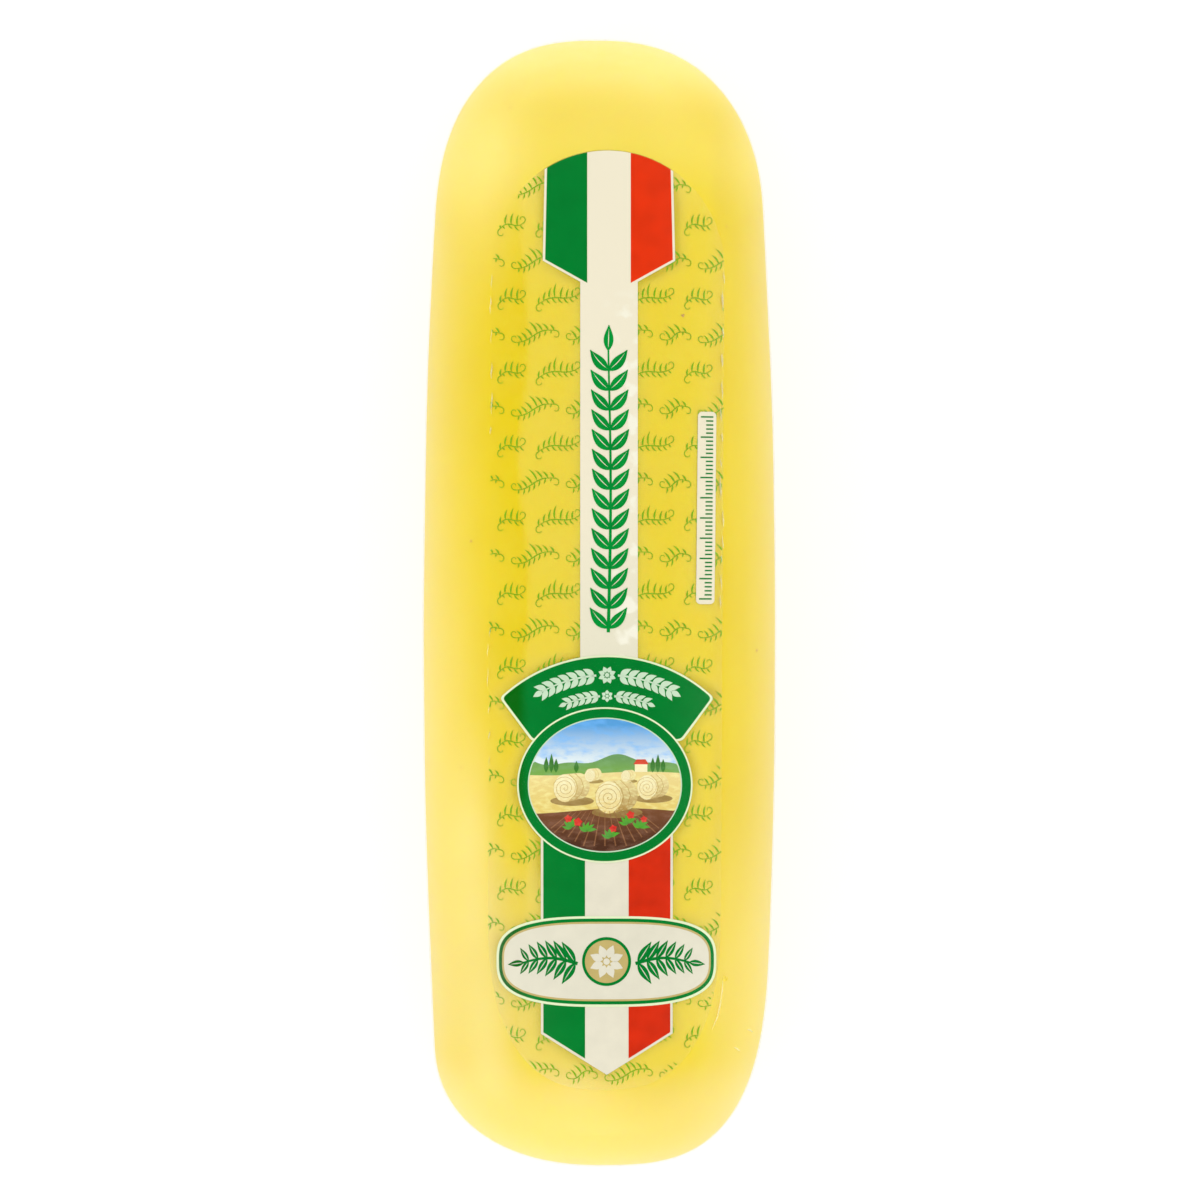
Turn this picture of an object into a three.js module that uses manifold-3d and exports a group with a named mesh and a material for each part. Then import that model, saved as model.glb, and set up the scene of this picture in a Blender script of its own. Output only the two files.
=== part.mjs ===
// A whole provolone: a long, round-ended log of cheese, shrink-wrapped in clear film, lying on its back
// with its long printed label up. Millimetres, +Z up. The log lies along Y, its head end at +Y, and the
// origin is at the middle of the flat that it rests on.
import * as THREE from "three";
import { mergeVertices } from "three/addons/utils/BufferGeometryUtils.js";
import Module from "manifold-3d";

// ---- The log ------------------------------------------------------------------------------------------
const LENGTH = 420;
const HALF_WIDTH = 65.7;
const HEIGHT = 113; // from the flat to the crown
const EQUATOR_Z = 55; // the level where the log is widest
const BELLY_DEPTH = 58.5; // what the lower half would reach below the equator if no flat were pressed in it
const WIDEST_Y = -12.7;
const TAPER = 0.119; // share of the width lost between the widest station and either end
const CROWN_TAPER = 0.05; // the same for the height
const SECTION_POWER = 2.15; // 2 is an ellipse, more is squarer
// Each quarter of the plan has its own rounding: how far from the end it starts, and how square it is.
const PLAN_ROUNDING = {
  head: { right: { reach: 65.5, power: 2.38 }, left: { reach: 68.2, power: 2.62 } },
  foot: { right: { reach: 83.6, power: 3.1 }, left: { reach: 44.6, power: 2.3 } },
};
const SIDE_ROUNDING = { head: { reach: 78, power: 2.3 }, foot: { reach: 70, power: 2.5 } };
const AROUND = 56;
const ALONG = 46;

// ---- The bag's end seals: a welded fin folded down flat on the lower half of each end -----------------
const SEAL = { width: 72, topZ: 37, drop: 12, proud: 1.4, depth: 60 };

// ---- The label, in layers over the log ----------------------------------------------------------------
const CLEARANCE = 0.3; // between neighbouring solids
const FILM = { from: 0.3, to: 0.7 }; // height of the clear label film above the log
const INK = { from: 1.0, to: 1.4 }; // height of the printed fields
const LABEL = {
  halfWidth: 43,
  head: { x: 3.1, tipY: 165.8, reach: 43, power: 2 },
  foot: { x: 1.8, tipY: -179.6, reach: 68, power: 2.6 },
};

// ---- The printed fields of colour ---------------------------------------------------------------------
const STRIPE_HALF = 8; // half the width of a banner's middle stripe
const HEAD_FLAG = { x: 3.5, halfTop: 22.7, halfBottom: 23.4, shoulderY: 125.5, pointY: 117.5 };
const STRIP = { x: 3.5, halfWidth: 10.55, footY: -24 };
const TITLE = { x: 2.8, y: -76.3, radius: 56.2, halfAngle: Math.PI * 0.239, cornerX: 27, cornerY: 26 };
const RING = { x: 2, y: -67.1, outerX: 31.3, outerY: 27.8, innerX: 28.3, innerY: 24.9 };
const FOOT_FLAG = { x: 2.7, halfWidth: 23.3, headY: -84, shoulderY: -158.2, tipY: -172.8 };
const BADGE = { x: 2.6, y: -132, halfLength: 39.5, halfHeight: 15.8, power: 3, rim: 1.5, corners: 44 };
const MEDALLION = { x: 2.6, y: -132, radius: 9 };
const NOTICE = { x: 39.3, headY: 70.3, footY: -0.6, halfWidth: 3.4, lean: 0.8, corner: 1.6 };

const COLOURS = {
  cheese: 0xf7dc6a,
  film: 0xeed648,
  cream: 0xf0ebcb,
  green: 0x008236,
  red: 0xe03a1c,
  tan: 0xc9b878,
  sky: 0x7fb2d8,
};

const wasm = await Module();
wasm.setup();

// ---- From three.js geometry to a solid and back -------------------------------------------------------
function solidOf(geometry) {
  const bare = geometry.clone();
  bare.deleteAttribute("normal");
  bare.deleteAttribute("uv");
  const merged = mergeVertices(bare, 1e-4);
  return new wasm.Manifold(
    new wasm.Mesh({
      numProp: 3,
      vertProperties: merged.attributes.position.array,
      triVerts: new Uint32Array(merged.index.array),
    }),
  );
}

function geometryOf(solid) {
  const mesh = solid.getMesh();
  const geometry = new THREE.BufferGeometry();
  geometry.setAttribute("position", new THREE.BufferAttribute(mesh.vertProperties, 3));
  geometry.setIndex(new THREE.BufferAttribute(mesh.triVerts, 1));
  geometry.computeVertexNormals();
  return geometry;
}

// ---- The log's form -----------------------------------------------------------------------------------
// 1 away from the end, falling to 0 at the tip along a superellipse.
function rounding(fromTip, { reach, power }, grow) {
  const t = THREE.MathUtils.clamp(1 - fromTip / (reach + grow), 0, 1);
  return Math.pow(1 - Math.pow(t, power), 1 / power);
}

function taper(y, loss) {
  return 1 - loss * Math.pow((y - WIDEST_Y) / (LENGTH / 2), 2);
}

const signedPower = (value, power) => Math.sign(value) * Math.pow(Math.abs(value), power);

// A point of the log's skin, grown outwards by `grow`, from a point of the unit sphere with its poles on Y.
function skinPoint(unit, grow) {
  const y = unit.y * (LENGTH / 2 + grow);
  const end = y > 0 ? "head" : "foot";
  const side = unit.x > 0 ? "right" : "left";
  const fromTip = LENGTH / 2 + grow - Math.abs(y);
  const width = (HALF_WIDTH * taper(y, TAPER) + grow) * rounding(fromTip, PLAN_ROUNDING[end][side], grow);
  const depth = unit.z > 0 ? HEIGHT - EQUATOR_Z : BELLY_DEPTH;
  const height = (depth * taper(y, CROWN_TAPER) + grow) * rounding(fromTip, SIDE_ROUNDING[end], grow);
  const radius = Math.hypot(unit.x, unit.z) || 1;
  return new THREE.Vector3(
    width * signedPower(unit.x / radius, 2 / SECTION_POWER),
    y,
    EQUATOR_Z + height * signedPower(unit.z / radius, 2 / SECTION_POWER),
  );
}

function grownLog(grow) {
  const geometry = new THREE.SphereGeometry(1, AROUND, ALONG);
  const position = geometry.attributes.position;
  const unit = new THREE.Vector3();
  for (let i = 0; i < position.count; i++) {
    unit.fromBufferAttribute(position, i);
    if (Math.abs(unit.y) > 1 - 1e-9) unit.set(0, Math.sign(unit.y), 0);
    const point = skinPoint(unit, grow);
    position.setXYZ(i, point.x, point.y, point.z);
  }
  return solidOf(geometry);
}

function box(sizeX, sizeY, sizeZ, x, y, z) {
  return solidOf(new THREE.BoxGeometry(sizeX, sizeY, sizeZ).translate(x, y, z));
}

// The band of one end between two levels, standing proud of the log.
function sealFin(end) {
  const { width, topZ, drop, proud, depth } = SEAL;
  const slab = box(width, depth, drop, 0, end * (LENGTH / 2 + proud - depth / 2), topZ - drop / 2);
  return grownLog(proud).intersect(slab);
}

function cheeseInFilm() {
  const floor = box(4 * HALF_WIDTH, 2 * LENGTH, HEIGHT, 0, 0, -HEIGHT / 2);
  return grownLog(0).add(sealFin(1)).add(sealFin(-1)).subtract(floor);
}

// ---- Flat outlines ------------------------------------------------------------------------------------
function ellipse(x, y, radiusX, radiusY) {
  return new THREE.Shape().absellipse(x, y, radiusX, radiusY, 0, 2 * Math.PI);
}

function polygon(...corners) {
  return new THREE.Shape(corners.map(([x, y]) => new THREE.Vector2(x, y)));
}

// Corners of an arc of a superellipse, 2 being an ellipse's power.
function superArc(x, y, radiusX, radiusY, power, from, to, steps) {
  return Array.from({ length: steps + 1 }, (_, i) => {
    const angle = from + ((to - from) * i) / steps;
    return [
      x + radiusX * signedPower(Math.cos(angle), 2 / power),
      y + radiusY * signedPower(Math.sin(angle), 2 / power),
    ];
  });
}

function labelOutline(inset = 0) {
  const { head, foot } = LABEL;
  const half = LABEL.halfWidth - inset;
  const headY = head.tipY - head.reach;
  const footY = foot.tipY + foot.reach;
  return polygon(
    ...superArc(head.x, headY, half, head.reach - inset, head.power, 0, Math.PI, 30),
    ...superArc(foot.x, footY, half, foot.reach - inset, foot.power, Math.PI, 2 * Math.PI, 34),
  );
}

// One stripe of the banner at the label's head. Its foot slants up to the banner's outer edge.
function headStripe(sign) {
  const inner = STRIPE_HALF + CLEARANCE / 2;
  const overTip = LABEL.head.tipY + 5;
  return polygon(
    [HEAD_FLAG.x + sign * inner, HEAD_FLAG.pointY],
    [HEAD_FLAG.x + sign * HEAD_FLAG.halfBottom, HEAD_FLAG.shoulderY],
    [HEAD_FLAG.x + sign * HEAD_FLAG.halfTop, overTip],
    [HEAD_FLAG.x + sign * inner, overTip],
  );
}

// The white field: the head banner's middle stripe, which widens into the long strip under it.
function centreStrip() {
  const overTip = LABEL.head.tipY + 5;
  const half = STRIPE_HALF - CLEARANCE / 2;
  const neckY = HEAD_FLAG.pointY - CLEARANCE;
  return polygon(
    [STRIP.x - half, overTip],
    [STRIP.x - half, neckY],
    [STRIP.x - STRIP.halfWidth, neckY],
    [STRIP.x - STRIP.halfWidth, STRIP.footY],
    [STRIP.x + STRIP.halfWidth, STRIP.footY],
    [STRIP.x + STRIP.halfWidth, neckY],
    [STRIP.x + half, neckY],
    [STRIP.x + half, overTip],
  );
}

// The arched banner. The ring covers the middle of its straight foot.
function titleOutline() {
  const { x, y, radius, halfAngle, cornerX, cornerY } = TITLE;
  const arc = superArc(x, y, radius, radius, 2, Math.PI / 2 - halfAngle, Math.PI / 2 + halfAngle, 20);
  return polygon(...arc, [x - cornerX, y + cornerY], [x + cornerX, y + cornerY]);
}

// One stripe of the banner at the label's foot, above or below the middle of the badge that crosses it.
// The three stripes together end in a point.
function footStripe(from, to, below) {
  const slope = (FOOT_FLAG.shoulderY - FOOT_FLAG.tipY) / FOOT_FLAG.halfWidth;
  const edge = (x) => [FOOT_FLAG.x + x, below ? FOOT_FLAG.tipY + slope * Math.abs(x) : BADGE.y];
  const topY = below ? BADGE.y : FOOT_FLAG.headY;
  const middle = from < 0 && to > 0 ? [edge(0)] : [];
  return polygon([FOOT_FLAG.x + from, topY], edge(from), ...middle, edge(to), [FOOT_FLAG.x + to, topY]);
}

function badgeOutline(grow) {
  const { x, y, halfLength, halfHeight, power, corners } = BADGE;
  const around = superArc(x, y, halfLength + grow, halfHeight + grow, power, 0, 2 * Math.PI, corners);
  return polygon(...around.slice(1));
}

function noticeOutline() {
  const { x, headY, footY, halfWidth, lean, corner } = NOTICE;
  const middleY = (headY + footY) / 2;
  const halfLength = (headY - footY) / 2;
  const corners = [
    [1, 1],
    [-1, 1],
    [-1, -1],
    [1, -1],
  ].flatMap(([sideX, sideY], quarter) => {
    const arcX = x + sideY * lean * 0.5 + sideX * (halfWidth - corner);
    const arcY = middleY + sideY * (halfLength - corner);
    const from = (quarter * Math.PI) / 2;
    return superArc(arcX, arcY, corner, corner, 2, from, from + Math.PI / 2, 4);
  });
  return polygon(...corners);
}

// ---- Fields cut from a thin layer that follows the log ------------------------------------------------
function layer({ from, to }) {
  return grownLog(to).subtract(grownLog(from));
}

// What stands over an outline, upwards from the equator.
function prism(outline) {
  const options = { depth: HEIGHT, bevelEnabled: false, curveSegments: 20 };
  return solidOf(new THREE.ExtrudeGeometry(outline, options).translate(0, 0, EQUATOR_Z + 1));
}

const inkLayer = layer(INK).intersect(prism(labelOutline(0.4)));

function field(outline, ...coveredBy) {
  return coveredBy.reduce((cut, over) => cut.subtract(prism(over)), inkLayer.intersect(prism(outline)));
}

const ringOver = ellipse(RING.x, RING.y, RING.outerX + CLEARANCE, RING.outerY + CLEARANCE);
const ringHole = ellipse(RING.x, RING.y, RING.innerX, RING.innerY);
const titleOver = ellipse(TITLE.x, TITLE.y, TITLE.radius + CLEARANCE, TITLE.radius + CLEARANCE);
const badgeOver = badgeOutline(CLEARANCE);
const medallionHole = ellipse(
  MEDALLION.x,
  MEDALLION.y,
  MEDALLION.radius + CLEARANCE,
  MEDALLION.radius + CLEARANCE,
);

// Each field: its outline, its colour, and what covers parts of it.
const fields = {
  centre_strip: [centreStrip(), "cream", titleOver],
  head_flag_green: [headStripe(-1), "green"],
  head_flag_red: [headStripe(1), "red"],
  title_banner: [titleOutline(), "green", ringOver],
  picture_ring: [ellipse(RING.x, RING.y, RING.outerX, RING.outerY), "green", ringHole],
  picture_field: [ellipse(RING.x, RING.y, RING.innerX - CLEARANCE, RING.innerY - CLEARANCE), "sky"],
  badge_rim: [badgeOutline(0), "green", badgeOutline(-BADGE.rim)],
  badge_plate: [badgeOutline(-BADGE.rim - CLEARANCE), "cream", medallionHole],
  badge_medallion: [ellipse(MEDALLION.x, MEDALLION.y, MEDALLION.radius, MEDALLION.radius), "tan"],
  notice_strip: [noticeOutline(), "cream"],
};

const stripeInner = STRIPE_HALF + CLEARANCE / 2;
const footStripes = {
  green: [-FOOT_FLAG.halfWidth, -stripeInner],
  cream: [CLEARANCE / 2 - STRIPE_HALF, STRIPE_HALF - CLEARANCE / 2],
  red: [stripeInner, FOOT_FLAG.halfWidth],
};
for (const [colour, [from, to]] of Object.entries(footStripes)) {
  fields[`foot_flag_${colour}_upper`] = [footStripe(from, to, false), colour, ringOver, badgeOver];
  fields[`foot_flag_${colour}_lower`] = [footStripe(from, to, true), colour, badgeOver];
}

// ---- The assembly -------------------------------------------------------------------------------------
function piece(name, solid, colour, roughness) {
  const material = new THREE.MeshStandardMaterial({ color: COLOURS[colour], roughness, metalness: 0 });
  const mesh = new THREE.Mesh(geometryOf(solid), material);
  mesh.name = name;
  return mesh;
}

const provolone = new THREE.Group();
provolone.add(piece("cheese_in_film", cheeseInFilm(), "cheese", 0.25));

const label = new THREE.Group();
label.add(piece("label_film", layer(FILM).intersect(prism(labelOutline())), "film", 0.2));
for (const [name, [outline, colour, ...covers]] of Object.entries(fields)) {
  label.add(piece(name, field(outline, ...covers), colour, 0.3));
}
provolone.add(label);

export default provolone;
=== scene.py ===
"""A whole provolone in clear shrink film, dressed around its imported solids. Metres, +Z up."""

import math
import random

import bmesh
import bpy
from mathutils import Matrix, Vector, noise
from mathutils.bvhtree import BVHTree


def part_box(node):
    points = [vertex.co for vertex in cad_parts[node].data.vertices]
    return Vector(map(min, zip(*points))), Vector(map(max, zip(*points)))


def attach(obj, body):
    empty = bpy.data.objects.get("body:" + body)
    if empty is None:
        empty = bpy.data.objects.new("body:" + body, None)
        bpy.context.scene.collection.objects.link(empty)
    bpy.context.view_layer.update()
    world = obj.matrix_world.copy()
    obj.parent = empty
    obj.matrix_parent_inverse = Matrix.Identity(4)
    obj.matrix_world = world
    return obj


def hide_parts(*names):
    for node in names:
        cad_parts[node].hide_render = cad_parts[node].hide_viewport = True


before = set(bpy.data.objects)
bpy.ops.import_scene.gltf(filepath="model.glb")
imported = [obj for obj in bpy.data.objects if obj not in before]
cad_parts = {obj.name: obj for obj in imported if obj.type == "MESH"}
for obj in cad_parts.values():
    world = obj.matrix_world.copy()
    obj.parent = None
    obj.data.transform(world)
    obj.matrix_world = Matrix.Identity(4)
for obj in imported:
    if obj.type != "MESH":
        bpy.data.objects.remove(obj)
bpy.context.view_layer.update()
MM = 0.001

# ---- Camera ----
# A long lens straight above the middle of the log, with the log's head end at the top of the frame.
EQUATOR = 55 * MM  # the level where the log is widest
CAMERA_RISE = 3.35  # from that level to the lens
FRAME_SPAN = 448.8 * MM  # what the frame takes in at that level
FRAME_MIDDLE = (0.2 * MM, 0.9 * MM)
SENSOR_WIDTH = 36  # in millimetres
FAR_CLIP = 60

camera_data = bpy.data.cameras.new("overhead_camera")
camera_data.sensor_width = SENSOR_WIDTH
camera_data.lens = SENSOR_WIDTH * CAMERA_RISE / FRAME_SPAN
camera_data.clip_end = FAR_CLIP
camera = bpy.data.objects.new("overhead_camera", camera_data)
camera.location = (*FRAME_MIDDLE, EQUATOR + CAMERA_RISE)
bpy.context.scene.collection.objects.link(camera)
bpy.context.scene.camera = camera
bpy.context.scene.view_settings.view_transform = "Standard"

# ---- The cheese ----
# One log of stretched curd, pressed in a round mould, brined and matured. It is cast whole, so it is one
# body with a thin smooth rind, and its own weight has settled it onto a long narrow flat.
log_low, log_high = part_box("cheese_in_film")
LENGTH = 420 * MM  # of the cheese alone, without the bag's seals
HALF_WIDTH = (log_high.x - log_low.x) / 2
HEIGHT = log_high.z
BELLY_DEPTH = 58.5 * MM  # what the lower half would reach below the equator with no flat in it
WIDEST_Y = -12.7 * MM
WIDTH_TAPER = 0.119  # share of the width lost between the widest station and either end
HEIGHT_TAPER = 0.05
SECTION_POWER = 2.15  # 2 is an ellipse, more is squarer
PLAN_ROUNDING = {  # how far from the end each quarter of the plan starts to round, and how squarely
    ("head", "right"): (65.5 * MM, 2.38),
    ("head", "left"): (68.2 * MM, 2.62),
    ("foot", "right"): (83.6 * MM, 3.1),
    ("foot", "left"): (44.6 * MM, 2.3),
}
SIDE_ROUNDING = {"head": (78 * MM, 2.3), "foot": (70 * MM, 2.5)}
REST_LEVEL = 0.3 * MM  # of the cheese's flat, with the film under it
FLAT_RIM = 1.2 * MM  # how softly the flanks ease onto that flat
SWELLS = (46 * MM, 0.28 * MM)  # the rind's broad unevenness: its spacing and its height
RIPPLES = (12 * MM, 0.05 * MM)  # and its fine one
SHARP_ANGLE = math.radians(40)  # a fold sharper than this stays crisp


def rounding(from_tip, reach, power, lift):
    """1 away from the end, falling to 0 at the tip along a superellipse."""
    share = min(max(1 - from_tip / (reach + lift), 0), 1)
    return (1 - share**power) ** (1 / power)


def section(y, right, upper, lift=0.0):
    """Half the width, and the rise or fall from the equator, of the log's section at a station."""
    end = "head" if y > 0 else "foot"
    from_tip = LENGTH / 2 + lift - abs(y)
    bow = ((y - WIDEST_Y) / (LENGTH / 2)) ** 2
    plan = rounding(from_tip, *PLAN_ROUNDING[end, "right" if right else "left"], lift)
    side = rounding(from_tip, *SIDE_ROUNDING[end], lift)
    depth = HEIGHT - EQUATOR if upper else BELLY_DEPTH
    width = (HALF_WIDTH * (1 - WIDTH_TAPER * bow) + lift) * plan
    return width, (depth * (1 - HEIGHT_TAPER * bow) + lift) * side


def signed_power(value, power):
    return math.copysign(abs(value) ** power, value)


def skin_point(direction, lift):
    """The point of the log's skin for a point of the unit sphere whose poles are on Y."""
    y = direction.y * (LENGTH / 2 + lift)
    width, rise = section(y, direction.x > 0, direction.z > 0, lift)
    radius = math.hypot(direction.x, direction.z) or 1
    x = width * signed_power(direction.x / radius, 2 / SECTION_POWER)
    z = rise * signed_power(direction.z / radius, 2 / SECTION_POWER)
    return Vector((x, y, EQUATOR + z))


def unevenness(point):
    """How far the moulded rind stands off its ideal form."""
    broad = noise.noise(point / SWELLS[0]) * SWELLS[1]
    fine = noise.noise(point / RIPPLES[0] + Vector((7, 3, 1))) * RIPPLES[1]
    return broad + fine


def settled(z, level):
    """A height that eases onto the level the log rests on."""
    return (z + level + math.hypot(z - level, FLAT_RIM)) / 2


def log_shell(lift, level, around, along):
    """The log's skin as a closed shell, grown by a lift and settled onto a level."""
    bm = bmesh.new()
    bmesh.ops.create_uvsphere(bm, u_segments=around, v_segments=along, radius=1)
    bmesh.ops.rotate(bm, verts=bm.verts, cent=(0, 0, 0), matrix=Matrix.Rotation(-math.pi / 2, 3, "X"))
    for vert in bm.verts:
        vert.co = skin_point(vert.co, lift)
    bm.normal_update()
    for vert in bm.verts:
        vert.co += vert.normal * unevenness(vert.co)
        vert.co.z = settled(vert.co.z, level)
    return bm


def add_piece(name, bm, material, slot, *stands_for):
    """Turns a mesh into a finished piece: smooth, riding on the log, and standing for its CAD nodes."""
    mesh = bpy.data.meshes.new(name)
    bm.to_mesh(mesh)
    bm.free()
    mesh.shade_smooth()
    mesh.set_sharp_from_angle(angle=SHARP_ANGLE)
    mesh.materials.append(material)
    piece = bpy.data.objects.new(name, mesh)
    bpy.context.scene.collection.objects.link(piece)
    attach(piece, "root")
    if stands_for:
        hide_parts(*stands_for)
    return piece


def node_adder(tree):
    """A short way to add a node to a tree, with its settings and the values of its sockets."""

    def add(kind, **settings):
        node = tree.nodes.new(kind)
        for key, value in settings.items():
            if hasattr(node, key):
                setattr(node, key, value)
            else:
                node.inputs[key.replace("_", " ")].default_value = value
        return node

    return add


def new_material(name):
    """A node material: itself, its Principled shader, and short ways to add a node and to join two."""
    material = bpy.data.materials.new(name)
    material.use_nodes = True
    tree = material.node_tree
    return material, tree.nodes["Principled BSDF"], node_adder(tree), tree.links.new


def grain(add, join, size, detail=2.0, stretch=(1, 1, 1)):
    """Cloudy noise fixed to the piece, with features of about that size."""
    place = add("ShaderNodeTexCoord")
    mapping = add("ShaderNodeMapping", Scale=stretch)
    clouds = add("ShaderNodeTexNoise", Scale=1 / size, Detail=detail)
    join(place.outputs["Object"], mapping.inputs["Vector"])
    join(mapping.outputs["Vector"], clouds.inputs["Vector"])
    return clouds.outputs["Fac"]


def spread(add, join, source, low, high, to_low=0.0, to_high=1.0):
    """Stretches a value's range from low to high, and holds it beyond them."""
    node = add("ShaderNodeMapRange", From_Min=low, From_Max=high, To_Min=to_low, To_Max=to_high)
    join(source, node.inputs["Value"])
    return node.outputs["Result"]


def colour_mix(add, join, factor, first, second):
    """Mixes two colours, each of them a colour or another node's output."""
    node = add("ShaderNodeMix", data_type="RGBA")
    join(factor, node.inputs["Factor"])
    sockets = [socket for socket in node.inputs if socket.type == "RGBA"]
    for socket, colour in zip(sockets, (first, second)):
        if isinstance(colour, tuple):
            socket.default_value = (*colour, 1)
        else:
            join(colour, socket)
    return next(socket for socket in node.outputs if socket.type == "RGBA")


def layer_value(add, name):
    """The value that a piece's own mesh carries in the layer of that name."""
    return add("ShaderNodeAttribute", attribute_name=name).outputs["Fac"]


def carry(bm, name, value_at):
    """Gives a mesh a layer of that name, with a value worked out for each of its points."""
    layer = bm.verts.layers.float.new(name)
    for vert in bm.verts:
        vert[layer] = value_at(vert.co)


def relief(add, join, height, distance, strength=1.0):
    node = add("ShaderNodeBump", Strength=strength, Distance=distance)
    join(height, node.inputs["Height"])
    return node.outputs["Normal"]


def ease(low, high, value):
    """0 at low and 1 at high, with a smooth rise between them. Low may be above high."""
    share = min(max((value - low) / (high - low), 0), 1)
    return share * share * (3 - 2 * share)


def rise_of(point):
    """How far above the equator a point is, in millimetres."""
    return (point.z - EQUATOR) / MM


def patches(point, places):
    """What soft patches of the plan add up to at a point. Each fades out over about its reaches."""
    total = 0.0
    for strength, x, y, reach_x, reach_y in places:
        off_middle = ((point.x / MM - x) / reach_x) ** 2 + ((point.y / MM - y) / reach_y) ** 2
        total += strength * math.exp(-off_middle)
    return total


def loose_band(point):
    """1 in the band beside the label's foot where the bag clings least, and 0 away from it."""
    y = point.y / MM
    middle = -47 + 0.1 * max(-96 - y, 0)
    return ease(-34, -94, y) * ease(-188, -170, y) * math.exp(-(((point.x / MM - middle) / 9) ** 2))


# Painted reflection: patches where the rind is painted paler for the tent's and the soft boxes' reflection in
# the film.
PAINTED_REFLECTION_PATCHES = (  # each one's strength, its place, and its reaches along X and Y, in millimetres
    (0.48, -42, 153, 16, 27),
    (0.15, 20, 184, 14, 12),
    (-0.25, 44, 180, 12, 18),
    (0.2, -58, -40, 14, 60),
    (0.22, -52, -120, 20, 75),
    (0.35, 54, -150, 18, 46),
    (0.3, -8, -188, 17, 14),
)


def painted_reflection_paleness(point):
    """How much painted reflection pales the rind: round the log's ends, beside the label's foot, and in
    patches.
    """
    y = point.y / MM
    ends = 0.5 * ease(138, 170, y) + 0.56 * ease(182, 206, y) + 0.26 * ease(-166, -186, y)
    pale = ends + 0.55 * loose_band(point) + patches(point, PAINTED_REFLECTION_PATCHES)
    return pale * (1 + 0.2 * noise.noise(point / (24 * MM)))


# Painted reflection: patches where the curd is painted paler for the white tent's sheen on the film.
PAINTED_SHEEN_PATCHES = (  # given in the same way
    (0.3, -52, -152, 24, 34),
    (0.25, 54, -140, 24, 60),
    (0.1, -58, -50, 20, 70),
    (0.2, -41, 150, 7, 24),
    (0.4, -8, -181, 12, 7),
)


def painted_sheen(point):
    """How much painted reflection pales the curd: more and more down the log's flanks, at its foot, and in
    patches.
    """
    rise = rise_of(point)
    at_end = ease(120, 170, abs(point.y) / MM)
    flanks = 0.55 * ease(52, 8, rise) * (1 - 0.6 * at_end) + 0.35 * ease(10, -20, rise)
    return flanks + 0.48 * ease(-164, -186, point.y / MM) + patches(point, PAINTED_SHEEN_PATCHES)


def right_of_painted_reflection_edge(point):
    """0 on the label's left margin, and 1 right of its wavy edge, where a soft box's painted reflection
    starts.
    """
    wave = 1.7 * math.cos(math.tau * point.y / (100 * MM)) + 1.2 * noise.noise(point / (16 * MM))
    return ease(-29.3, -26.3, point.x / MM - wave)


def painted_reflection_under_label(point):
    """1 under the label right of that edge, where the rind is painted lighter for a soft box's reflection,
    and 0 elsewhere.
    """
    under_label = ease(44, 39, point.x / MM) * ease(182, 168, abs(point.y / MM))
    return right_of_painted_reflection_edge(point) * under_label * ease(0, 20, rise_of(point))


# The three tones below are painted reflection: the curd is painted paler where the film would reflect the
# tent and the soft boxes.
PAINTED_REFLECTION_TONES = (  # each tone's name, how much of it a point has, and its colour
    ("label_reflection", painted_reflection_under_label, (0.862, 0.665, 0.006)),
    ("sheen_tone", painted_sheen, (0.855, 0.66, 0.2)),
    ("pale", painted_reflection_paleness, (1, 0.81, 0.21)),
)
curd, face, add, join = new_material("pressed_curd")
cloud = grain(add, join, 38 * MM, detail=3)
speckle = grain(add, join, 3.5 * MM, detail=4)
cloudy = spread(add, join, cloud, 0.35, 0.65)
warm = colour_mix(add, join, cloudy, (0.832, 0.634, 0.008), (0.807, 0.604, 0.004))
# Paints those reflection tones over the curd's own cloudy colour.
for name, _, colour in PAINTED_REFLECTION_TONES:
    warm = colour_mix(add, join, layer_value(add, name), warm, colour)
speckled = spread(add, join, speckle, 0.3, 0.75, 0, 0.16)
join(colour_mix(add, join, speckled, warm, (0.89, 0.74, 0.05)), face.inputs["Base Color"])
face.inputs["Subsurface Weight"].default_value = 0.3
face.inputs["Subsurface Radius"].default_value = (1, 0.55, 0.12)
face.inputs["Subsurface Scale"].default_value = 6 * MM
face.inputs["Specular IOR Level"].default_value = 0.05
join(spread(add, join, speckle, 0.2, 0.8, 0.45, 0.62), face.inputs["Roughness"])
join(relief(add, join, speckle, 0.05 * MM), face.inputs["Normal"])

cheese_mesh = log_shell(0, REST_LEVEL, around=240, along=220)
for name, share_at, _ in PAINTED_REFLECTION_TONES:
    carry(cheese_mesh, name, share_at)
add_piece("cheese_log", cheese_mesh, curd, "cheese", "cheese_in_film")


def crown(x, y, lift):
    """The point a lift above the top of the cheese, over a place of the plan."""

    def top(x, y):
        width, rise = section(y, x > 0, True)
        across = min(abs(x) / width, 1)
        return Vector((x, y, EQUATOR + rise * (1 - across**SECTION_POWER) ** (1 / SECTION_POWER)))

    near = 0.5 * MM
    along_x = top(x + near, y) - top(x - near, y)
    along_y = top(x, y + near) - top(x, y - near)
    here = top(x, y)
    return here + along_x.cross(along_y).normalized() * (unevenness(here) + lift)


def super_arc(centre, radii, power, start, stop, steps):
    """Points of an arc of a superellipse between two angles in degrees. A power of 2 is an ellipse."""
    points = []
    for step in range(steps + 1):
        angle = math.radians(start + (stop - start) * step / steps)
        x = radii[0] * signed_power(math.cos(angle), 2 / power)
        y = radii[1] * signed_power(math.sin(angle), 2 / power)
        points.append(Vector((centre[0] + x, centre[1] + y)))
    return points


def loop(centre, radii, corners, power=2):
    """The whole outline of an oval or of a superellipse, with that many corners."""
    return super_arc(centre, radii, power, 0, 360 - 360 / corners, corners - 1)


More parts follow.
